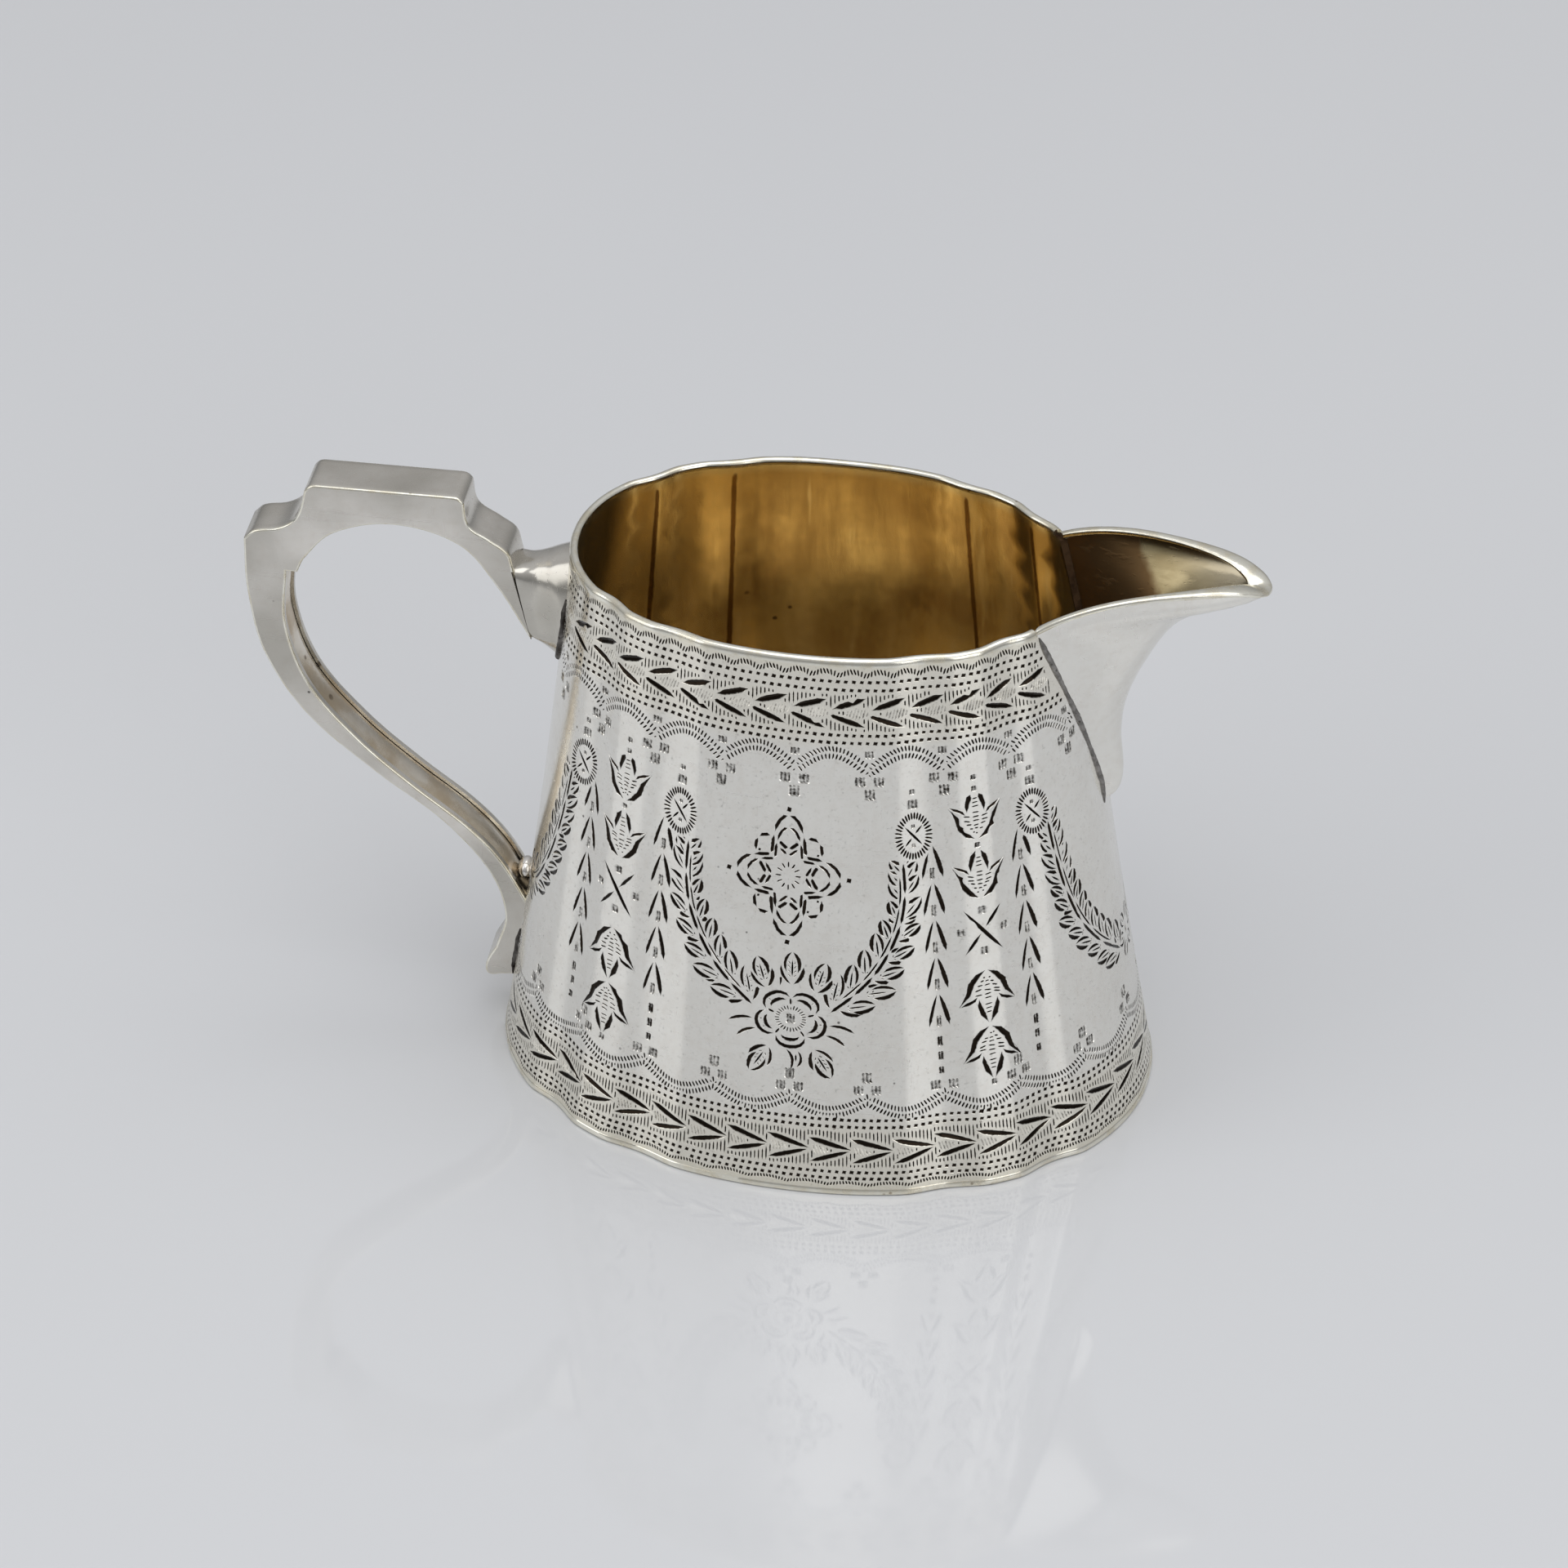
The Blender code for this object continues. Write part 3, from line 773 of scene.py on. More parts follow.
    def hatch(self, u, low, high, width, tone):
        """Upright nicks at u that fill low to high, wherever no earlier cut is in the way."""
        start = None
        steps = round((high - low) / HATCH_STEP)
        for step in range(steps + 2):
            z = low + HATCH_STEP * step
            clear = step <= steps and self.free(u, z, 0.4 * width + CUT_ROOM)
            if clear and start is None:
                start = z
            if not clear and start is not None:
                length = z - HATCH_STEP - start
                if length > LEAST_HATCH:
                    place = placed(u, start + 0.5 * length)
                    self.tick(place, 0.0, 0.0, length, width, 0.5 * math.pi, tone)
                start = None

    def dot(self, place, x, y, width, height, tone=1.0, depth=0.12):
        """A pecked dot: four sides down to a point."""
        corners = ((-0.5, -0.35), (0.3, -0.5), (0.5, 0.35), (-0.3, 0.5))
        outline = [place(x + width * across, y + height * up) for across, up in corners]
        if self.allowed(outline):
            self.outlined(outline)
            self.add(place(x, y), depth, tone)
            self.take(*place(x, y), 0.45 * width)

    def facet(self, place, x, y, width, height, grooves=3, tone=0.24):
        """A sunk square facet with upright grooves across it."""
        columns = 2 * grooves
        low = []
        high = []
        for step in range(columns + 1):
            across = x + width * (step / columns - 0.5)
            arch = 0.5 * height * (0.72 if step in (0, columns) else 1.0)
            low.append(place(across, y - arch))
            high.append(place(across, y + arch))
        if not self.allowed(low + high):
            return
        for across in (-0.28, 0.28):
            for up in (-0.28, 0.28):
                self.take(*place(x + across * width, y + up * height), 0.3 * max(width, height))
        low = [self.add(point) for point in low]
        high = [self.add(point) for point in high]
        self.chain(low)
        self.chain(high)
        for step in range(columns + 1):
            if step in (0, columns):
                self.chain((low[step], high[step]))
                continue
            groove = step % 2 == 1
            sunk = 0.14 if groove else 0.07
            shade = tone if groove else 0.5 * tone
            across = x + width * (step / columns - 0.5)
            foot = self.add(place(across, y - 0.36 * height), sunk, shade)
            head = self.add(place(across, y + 0.36 * height), sunk, shade)
            self.chain((low[step], foot, head, high[step]))

    def leaf_facet(self, place, x, y, width, height):
        """A shallow pointed oval of upright nicks, between the arms of a chevron."""
        for step in range(7):
            across = (step / 6.0 - 0.5) * 0.9
            tall = height * (1.0 - 2.6 * across * across)
            self.tick(place, x + width * across, y, tall, 0.3, 0.5 * math.pi + 0.3, 0.15, 0.07)


def repeated(z, pitch):
    """Unrolled places evenly round the wall at height z, about pitch apart in real length."""
    count = max(round(AROUND * stretch(z) / pitch), 1)
    return [AROUND * (index + 0.5) / count for index in range(count)]


def dot_row(plan, z):
    for u in repeated(z, 0.95):
        size = plan.random.uniform(0.9, 1.1)
        plan.dot(placed(u, z), 0.0, 0.0, 0.68 * size, 0.58 * size)


def comb_row(plan, low, high):
    """Close upright nicks that fill a band, up to the bold cuts that cross it."""
    for u in repeated(0.5 * (low + high), 0.5):
        end = high - plan.random.uniform(0.0, 0.2)
        plan.hatch(u, low + plan.random.uniform(0.0, 0.2), end, 0.22, plan.random.uniform(0.5, 0.9))


def wave_row(plan, z, height, pitch, length):
    """A wavy line of fine dashes."""
    for u in repeated(z, 0.4):
        turn = 2.0 * math.pi * u / pitch
        rise = height * (abs(math.sin(0.5 * turn)) - 0.5)
        lean = 0.5 * math.pi - 0.35 * math.cos(turn)
        plan.tick(placed(u, z + rise), 0.0, 0.0, length, 0.24, lean, 1.0)


def garland(plan, z, pitch, reach, spread, width, toward_spout):
    """Chevrons nose to tail, with a hatched leaf between the arms of each."""
    for u in repeated(z, pitch):
        flip = 1.0 if (u < 0.5 * AROUND) == toward_spout else -1.0
        place = placed(u + 0.5 * flip * reach / stretch(z), z, 0.0, flip)
        wobble = plan.random.uniform(-0.15, 0.15)
        plan.stroke(place, (-reach, spread + wobble), (0.0, 0.04), width, 0.0, 0.3, 4, depth=0.18)
        plan.stroke(place, (-0.97 * reach, wobble - spread), (-0.04 * reach, -0.1), 0.9 * width,
                    0.0, 0.4, 4, depth=0.18)
        plan.leaf_facet(place, -0.78 * reach, 0.0, 0.5 * reach, 0.95 * spread)


def scallops(plan, crown_z, drop, count, sign):
    """A row of arches of paired nicks, with facets at each cusp. sign is -1 where cusps hang."""
    span = AROUND / count
    first = 0.25 * AROUND % span

    def curve(u):
        across = 2.0 * ((u - first) / span % 1.0) - 1.0
        return crown_z + sign * drop * (1.0 - math.cos(0.5 * math.pi * across))

    for index in range(count):
        u = (first + index * span) % AROUND
        cusp = crown_z + sign * drop
        place = placed(u, cusp)
        plan.facet(place, 0.0, -sign * 2.4, 1.35, 1.05)
        plan.facet(place, -1.15, sign * 1.4, 1.5, 1.4)
        plan.facet(place, 1.15, sign * 1.4, 1.5, 1.4)
        plan.facet(place, 0.0, sign * 3.2, 1.5, 1.6)
    steps = round(AROUND * stretch(crown_z) * 1.13 / 0.5)
    for index in range(steps):
        u = AROUND * (index + 0.5) / steps
        z = curve(u)
        slope = (curve(u + 0.05) - curve(u - 0.05)) / (0.1 * stretch(z))
        upright = math.atan(slope) + 0.5 * math.pi
        place = placed(u, z)
        reach = 0.52 / math.cos(math.atan(slope)) ** 0.5
        tone = plan.random.uniform(0.6, 1.0)
        plan.tick(place, 0.0, reach, 0.92, 0.26, upright + 0.15, tone)
        plan.tick(place, 0.0, -reach, 0.92, 0.26, upright - 0.1, tone)


def borders(plan):
    """The two engraved borders, along the rim and along the base."""
    wave_row(plan, RIM_Z - 1.9, 0.6, 3.7, 1.0)
    dot_row(plan, RIM_Z - 3.0)
    dot_row(plan, RIM_Z - 4.15)
    garland(plan, RIM_Z - 7.35, 4.75, 5.3, 2.05, 0.88, False)
    comb_row(plan, RIM_Z - 10.0, RIM_Z - 4.65)
    dot_row(plan, RIM_Z - 10.45)
    dot_row(plan, RIM_Z - 11.5)
    scallops(plan, RIM_Z - 12.9, 2.6, 20, -1.0)
    wave_row(plan, 1.68, 0.35, 4.5, 0.6)
    dot_row(plan, 2.45)
    dot_row(plan, 3.35)
    garland(plan, 6.5, 5.5, 5.7, 1.75, 0.8, True)
    comb_row(plan, 3.85, 9.4)
    dot_row(plan, 9.9)
    dot_row(plan, 10.9)
    scallops(plan, 11.95, 1.9, 22, 1.0)


def cross(plan, place, across, up, width):
    """A saltire: one long cut and two short ones that stop beside it."""
    plan.stroke(place, (-across, up), (across, -up), width, 0.0, 0.55, 4)
    plan.stroke(place, (across, up), (0.1 * across, 0.1 * up), 0.85 * width, 0.0, 0.6, 2)
    plan.stroke(place, (-across, -up), (-0.1 * across, -0.1 * up), 0.85 * width, 0.0, 0.6, 2)


def burst(plan, place, count, across, up, length, width, tone):
    """An oval ring of nicks that point outwards."""
    for index in range(count):
        turn = 2.0 * math.pi * index / count
        x = across * math.cos(turn)
        y = up * math.sin(turn)
        plan.tick(place, x, y, length, width, math.atan2(y, x), tone)


def rosette(plan, u, z):
    """An oval sunburst of nicks round a cross, with a facet and a dart above it."""
    place = placed(u, z)
    cross(plan, place, 1.15, 1.45, 0.34)
    burst(plan, place, 34, 1.95, 2.85, 1.15, 0.29, 1.0)
    plan.facet(place, 0.0, 1.35, 0.6, 0.6, 2)
    plan.facet(place, 0.0, -1.35, 0.6, 0.6, 2)
    plan.facet(place, 0.0, 4.45, 1.5, 1.35)
    plan.facet(place, 0.0, 6.2, 0.9, 0.8, 2)


def chevron_column(plan, u, top):
    """A hanging chain of pointed chevrons that ends in small facets."""
    step = 5.3
    for index in range(5):
        place = placed(u, top - step * index)
        plan.stroke(place, (0.12, 0.0), (1.35, -4.7), 0.66, 0.08, 0.66, 4, depth=0.16)
        plan.stroke(place, (-0.12, -0.1), (-1.3, -4.8), 0.46, -0.08, 0.72, 4)
        plan.facet(place, 0.0, -4.0, 0.75, 1.7, 2)
    for index, height in enumerate((1.5, 1.3, 1.1)):
        plan.facet(placed(u, top - 5 * step - 2.1 * index - 1.6), 0.0, 0.0, 0.8, height, 2, 0.35)


def tulip(plan, u, z, up, size=1.1):
    """A three petalled tulip on its base point, filled with short rippled nicks."""
    turned = placed(u, z, 0.0 if up else math.pi)
    outer_petal = ((0.08, 0.0), (0.85, 0.6), (1.5, 1.6), (1.8, 2.9), (2.75, 4.6))
    petal_lip = ((2.6, 4.45), (1.9, 4.05), (1.3, 3.7), (0.95, 3.2))
    middle_petal = ((0.85, 3.5), (0.82, 4.4), (0.55, 5.5), (0.06, 6.7))

    def place(x, y):
        return turned(1.25 * x * size, y * size)

    for side, width in ((-1.0, 0.6), (1.0, 0.56)):
        for line, widths in (
            (outer_petal, (width, width * 1.15, width * 0.9)),
            (petal_lip, (0.42, 0.34)),
            (middle_petal, (width * 0.8, width)),
        ):
            plan.carve(place, [(side * x, y) for x, y in line], widths)
    for row in range(6):
        height = 0.9 + 0.52 * row
        half = min(0.35 + 0.3 * row, 1.2)
        for side in (-1.0, 0.0, 1.0):
            shift = plan.random.uniform(-0.1, 0.1)
            tilt = 0.25 * side + plan.random.uniform(-0.2, 0.2)
            plan.tick(place, side * half * 0.72, height + shift, half * 0.62, 0.2, tilt, 0.8)
    for row in range(3):
        plan.tick(place, 0.0, 4.3 + 0.5 * row, 0.8 - 0.12 * row, 0.18, 0.1, 0.75)


def tulip_column(plan, u):
    """Two tulips up, a cross between four facets, and two tulips down."""
    for z in (58.6, 57.0):
        plan.facet(placed(u, z), 0.0, 0.0, 0.85, 0.8, 2)
    tulip(plan, u, 49.8, True)
    plan.facet(placed(u, 49.0), 0.0, 0.0, 0.9, 0.8, 2)
    tulip(plan, u, 41.4, True)
    place = placed(u, 36.8)
    cross(plan, place, 2.6, 3.3, 0.55)
    for x, y in ((0.0, 2.9), (0.0, -2.9), (-2.9, 0.0), (2.9, 0.0)):
        plan.facet(place, x, y, 1.25, 1.15, 2)
    tulip(plan, u, 31.1, False, 1.14)
    tulip(plan, u, 23.0, False, 1.14)
    plan.facet(placed(u, 14.9), 0.0, 0.0, 0.9, 0.9, 2)


def bud_leaf(plan, place, length, width, bold):
    """A pointed oval leaf along +Y from the origin, thick on its bold side."""
    for side in (-1.0, 1.0):
        wide = 0.56 if side == bold else 0.4
        bend = -side * 0.42 * width
        plan.stroke(place, (0.2 * side, 0.3), (0.06 * side, length), wide, bend, 0.55, 4)
    plan.stroke(place, (0.0, 0.8), (0.0, 0.7 * length), 0.24, 0.0, 0.5, 2, 0.8)


def full_leaf(plan, place, length, width, bold):
    """A toothed leaf along +Y: two bowed cuts down each side, a rib and fine hatching."""
    half = 0.5 * width
    for side in (-1.0, 1.0):
        wide = 0.6 if side == bold else 0.44
        shoulder = (side * 0.55 * half, 0.42 * length)
        tip = (side * 0.04, length)
        plan.stroke(place, shoulder, tip, wide, -side * 0.42 * half, 0.5, 4)
        root = (side * 0.14, 0.1 * length)
        tooth = (side * 1.15 * half, 0.62 * length)
        plan.stroke(place, root, tooth, wide, -side * 0.3 * half, 0.6, 4)
    plan.stroke(place, (0.0, 0.3 * length), (0.0, 0.8 * length), 0.26, 0.0, 0.4, 3, 0.8)
    for side in (-1.0, 1.0):
        for row in range(4):
            height = (0.34 + 0.12 * row) * length
            plan.tick(place, side * 0.3 * half, height, 0.4 * half, 0.16, side * 0.8, 0.4, 0.06)


def stem(plan, points, inner_side, growth):
    """A double stem from the rose outwards, with leaves and long nicks down both sides."""
    path = smooth_run(points, STEM_SPAN)
    beside = set_right(path, 0.58 * inner_side)
    for line, begin, width, depth, tone in (
        (path, 0, 0.46, 0.15, 1.0), (beside, 3, 0.26, CUT_DEPTH, 0.9),
    ):
        for first in range(begin, len(path) - STEM_SPAN, STEM_SPAN):
            part = line[first:first + STEM_SPAN + 1]
            plan.carve(unmoved, part, [width] * (STEM_SPAN - 1), depth, tone)
    total = sum((after - before).length for before, after in zip(path, path[1:]))

    def growing(before, after, lean):
        """A frame on the stem whose Y axis leans away from the stem's direction."""
        heading = math.atan2(after.y - before.y, after.x - before.x) - 0.5 * math.pi
        return placed(before.x, before.y, heading + lean)

    for side in (-1.0, 1.0):
        outer = side != inner_side
        travelled = 0.0
        next_leaf = 0.5 if outer else 1.2
        leafy = True
        for before, after in zip(path, path[1:]):
            travelled += (after - before).length
            if travelled < next_leaf:
                continue
            share = 1.0 - travelled / total
            lean = side * (0.66 if outer else 0.6) + plan.random.uniform(-0.07, 0.07)
            length = mix(2.6, growth, share ** 0.7) * plan.random.uniform(0.94, 1.08)
            if not leafy:
                low = growing(before, after, 1.15 * lean)
                tip = (side * -0.3, 0.8 * length)
                plan.stroke(low, (0.0, 0.45), tip, 0.46, side * 0.35, 0.6, 4)
            elif share < 0.3:
                bud_leaf(plan, growing(before, after, lean), length, 0.36 * length, side)
            else:
                full_leaf(plan, growing(before, after, lean), length, 0.38 * length, -side)
            leafy = not leafy
            next_leaf = travelled + mix(0.8, 1.2, share)
        for before, after in zip(path[1:], path[2:]):
            travelled -= (after - before).length
            nick = growing(before, after, side * plan.random.uniform(0.85, 1.1))
            length = mix(1.3, 0.6 * growth, travelled / total) * plan.random.uniform(0.9, 1.1)
            plan.stroke(nick, (0.0, 0.5), (side * -0.25, length), 0.4, side * 0.25, 0.6, 4)


def rose(plan, u, z):
    """A five petalled wild rose with a burst centre and leaves round it."""
    place = placed(u, z)

    def arc(turn, span, reach, sag, steps):
        points = []
        for step in range(steps + 1):
            share = 2.0 * step / steps - 1.0
            angle = turn + span * share
            out = reach - sag * abs(share) ** 2.6
            points.append((1.06 * out * math.cos(angle), 0.94 * out * math.sin(angle)))
        return points

    plan.facet(place, 0.0, 0.0, 1.3, 1.4, 3)
    for petal in range(5):
        turn = 0.5 * math.pi + 0.62 + 2.0 * math.pi * petal / 5.0
        plan.carve(place, arc(turn, 0.6, 4.3, 1.1, 8), (0.4, 0.5, 0.56, 0.6, 0.56, 0.5, 0.4))
        inner_widths = (0.36, 0.54, 0.62, 0.54, 0.36)
        plan.carve(place, arc(turn, 0.42, 3.2, 0.35, 6), inner_widths, CUT_DEPTH, 0.9)
        nicks = [(0.17 * (index - 2), 3.92, 3.45, 0.4, 0.16, 0.4, 0.06) for index in range(5)]
        nicks += [(sign * 0.6, 2.75, 2.45, 1.0, 0.3, 0.9, NICK_DEPTH) for sign in (-1.0, 1.0)]
        for spread, across, up, length, width, tone, depth in nicks:
            angle = turn + spread
            x = across * math.cos(angle)
            plan.tick(place, x, up * math.sin(angle), length, width, angle, tone, depth)
    burst(plan, place, 28, 1.75, 1.6, 0.75, 0.18, 0.7)
    for x, y, turn, length in (
        (-2.6, -3.9, 2.6, 5.0), (2.7, -3.8, -2.6, 5.0), (0.1, 4.4, 0.0, 5.2),
        (-3.1, 3.6, 0.3, 5.0), (3.1, 3.6, -0.3, 5.0),
    ):
        full_leaf(plan, placed(u + x / stretch(z), z + y, turn), length, 0.5 * length, 1.0)
    for side in (-1.0, 1.0):
        for root, tip, width, bend, heavy in (
            ((1.5, 4.5), (1.9, 7.4), 0.36, 0.3, 0.5), ((4.9, -0.6), (8.2, -1.5), 0.46, 0.35, 0.6),
            ((4.4, -2.0), (7.0, -3.5), 0.46, 0.35, 0.6),
        ):
            start = (side * root[0], root[1])
            plan.stroke(place, start, (side * tip[0], tip[1]), width, side * bend, heavy, 4)
    plan.stroke(place, (-0.5, -4.4), (0.1, -7.2), 0.46, 0.5, 0.5, 4)
    bud_leaf(plan, placed(u + 0.7, z - 4.2, math.pi), 2.8, 1.3, 1.0)


def panel_wreath(plan, centre):
    """The wreath on one broad face: two stems from the rosettes down to the rose."""
    rose(plan, centre, 24.9)
    for side in (-1.0, 1.0):
        stem(plan, [(centre + side * x, z) for x, z in PANEL_STEM], -side, 5.6)


def end_wreath(plan, rosette_u, side, lowest):
    """A stem from a rosette down towards one end of the oval."""
    points = ((14.0, lowest), *END_STEM)
    stem(plan, [(rosette_u + side * x, z) for x, z in points], side, 5.2)


def knot(plan, u, z):
    """A plain interlaced quatrefoil, where the owner's cipher would be."""
    place = placed(u, z)
    steps = 64
    tall = 1.3

    def ring(radius, lobe, turn):
        points = []
        for step in range(steps + 1):
            angle = 2.0 * math.pi * step / steps
            reach = radius * (1.0 + lobe * math.cos(4.0 * angle))
            angle += turn
            points.append((reach * math.cos(angle), tall * reach * math.sin(angle)))
        return points

    for radius, lobe, turn in ((4.9, 0.34, 0.0), (4.2, 0.3, 0.25 * math.pi)):
        for inset, width in ((0.0, 0.54), (1.0, 0.42)):
            points = ring(radius - inset, lobe, turn)
            for first in range(0, steps, 4):
                plan.carve(place, points[first:first + 5], [width] * 3, CUT_DEPTH, 0.9)
        for x, y in ring(radius - 0.5, lobe, turn)[2:steps:4]:
            plan.dot(place, x, y, 0.42, 0.42, 0.9, 0.08)
    for index in range(12):
        angle = 2.0 * math.pi * index / 12
        plan.tick(place, 1.25 * math.cos(angle), 1.6 * math.sin(angle), 0.9, 0.22, angle, 0.9)
    for x, y in ((0.0, 9.4), (0.0, -9.4), (7.6, 0.0), (-7.6, 0.0)):
        plan.dot(place, x, y, 0.8, 0.8)


def engraving():
    """Every cut on the wall: borders, and the same panels on front and back."""
    plan = Plan()
    half = 0.5 * AROUND
    for centre in (0.5 * half, 1.5 * half):
        for side in (-1.0, 1.0):
            rosette(plan, centre + side * INNER_ROSETTE, ROSETTE_Z)
            rosette(plan, centre + side * OUTER_ROSETTE, ROSETTE_Z)
            tulip_column(plan, centre + side * TULIP_PLACE)
            for degrees in CHEVRON_ANGLES:
                chevron_column(plan, centre + side * (0.5 * half - u_at(degrees)), CHEVRON_TOP)
            lowest = 22.8 if (side > 0.0) == (centre < half) else 25.6
            end_wreath(plan, centre + side * OUTER_ROSETTE, side, lowest)
        panel_wreath(plan, centre)
    knot(plan, 0.25 * AROUND - 0.6, 45.2)
    for turn in range(6):
        angle = 2.0 * math.pi * turn / 6
        petal = placed(half + math.cos(angle), 23.4 + math.sin(angle), angle - 0.5 * math.pi)
        bud_leaf(plan, petal, 2.6, 1.5, 1.0)
    plan.facet(placed(half, 24.0), 0.0, -0.6, 1.0, 1.0)
    borders(plan)
    return plan


# ---------------------------------------------------------------- engraved wall

def on_opening(u, z):
    """True where the wall is cut away behind the spout."""
    place = wall_point(angle_at(u), z)
    inside = abs(place.y) < spout_half_width(z) - SPOUT_OPENING_INSET
    return place.x > 0.0 and z > OPENING_BOTTOM_Z and inside


def opening_edge(z, side):
    """Unrolled place of the opening's edge at height z."""
    _, half_width, squareness, _ = body_size(z)
    reach = spout_half_width(z) - SPOUT_OPENING_INSET
    angle = math.asin((reach / half_width) ** (0.5 * squareness))
    return u_at(360.0 + side * math.degrees(angle))


def beside_opening(point):
    """True on the part of the wall's border that runs round the spout's opening."""
    if point.y < OPENING_BOTTOM_Z - 0.1:
        return False
    return opening_edge(point.y, -1.0) - 0.01 < point.x < opening_edge(point.y, 1.0) + 0.01


def spaced(low, high, step):
    """Even values from low up to, but not including, high."""
    count = max(round(abs(high - low) / step), 1)
    return [mix(low, high, index / count) for index in range(count)]


def wall_border():
    """The unrolled wall's outline, anticlockwise, with the notch of the spout's opening."""
    low = OPENING_BOTTOM_Z
    rises = spaced(WALL_BOTTOM, WALL_TOP, BORDER_STEP)
    notch = spaced(low, WALL_TOP, BORDER_STEP)
    left_top = opening_edge(WALL_TOP, -1.0)
    right_top = opening_edge(WALL_TOP, 1.0)
    border = [(u, WALL_BOTTOM) for u in spaced(0.0, AROUND, BORDER_STEP)]
    border += [(AROUND, z) for z in rises]
    border += [(u, WALL_TOP) for u in spaced(AROUND, right_top, BORDER_STEP)]
    border += [(right_top, WALL_TOP)]
    border += [(opening_edge(z, 1.0), z) for z in reversed(notch)]
    border += [(u, low) for u in spaced(opening_edge(low, 1.0), opening_edge(low, -1.0), 0.8)][1:]
    border += [(opening_edge(z, -1.0), z) for z in notch]
    border += [(u, WALL_TOP) for u in spaced(left_top, 0.0, BORDER_STEP)]
    border += [(0.0, WALL_TOP)]
    border += [(0.0, z) for z in reversed(rises[1:])]
    return [Vector(point) for point in border]


def grid_points(step, kept_clear, clearance):
    """A staggered grid over the unrolled wall, with room left round the kept points."""
    tree = kdtree.KDTree(len(kept_clear))
    for index, point in enumerate(kept_clear):
        tree.insert((point.x, point.y, 0.0), index)
    tree.balance()
    made = []
    rows = round((WALL_TOP - WALL_BOTTOM) / (0.87 * step))
    columns = round(AROUND / step)
    for row in range(1, rows):
        z = mix(WALL_BOTTOM, WALL_TOP, row / rows)
        for column in range(columns):
            u = AROUND * (column + 0.5 * (row % 2) + 0.25) / columns
            near = tree.find((u, z, 0.0))[2]
            if near > clearance and not on_opening(u, z) and u < AROUND:
                made.append(Vector((u, z)))
    return made


def inner_creases():
    """Upright lines of points behind each flute, with the middle line marked for painted crease
    shade.
    """
    made = []
    marks = []
    for near_end, _, _ in FLUTES:
        for degrees in (180.0 + near_end, 360.0 - near_end, 360.0 + near_end, 540.0 - near_end):
            for z in spaced(WALL_BOTTOM, WALL_TOP, 1.6)[1:]:
                for shift, mark in ((-0.9, 0.0), (0.0, 1.0), (0.9, 0.0)):
                    made.append(Vector((u_at(degrees) + shift, z)))
                    marks.append(mark)
    return made, marks


def triangulated(points, edges):
    """Triangles over the unrolled wall, without the opening, and what each corner came from."""
    corners, _, faces, origins, _, _ = delaunay_2d_cdt(points, edges, [], 0, 1e-5)
    kept = []
    for face in faces:
        middle = sum((corners[index] for index in face), Vector((0.0, 0.0))) / 3.0
        if not on_opening(*middle):
            kept.append(tuple(face))
    return corners, kept, origins


def greatest(values, origins):
    """For each corner, the greatest value of the points that it came from."""
    found = [[values[index] for index in source if index < len(values)] for source in origins]
    return [max(marks, default=0.0) for marks in found]


def seam_joined(corners):
    """For each corner, the one that stands for it once the strip's two ends are joined."""
    starts = {}
    for index, corner in enumerate(corners):
        if corner.x < SEAM_NEAR:
            starts[round(corner.y, 4)] = index
    joined_up = list(range(len(corners)))
    for index, corner in enumerate(corners):
        if corner.x > AROUND - SEAM_NEAR:
            joined_up[index] = starts[round(corner.y, 4)]
    return joined_up


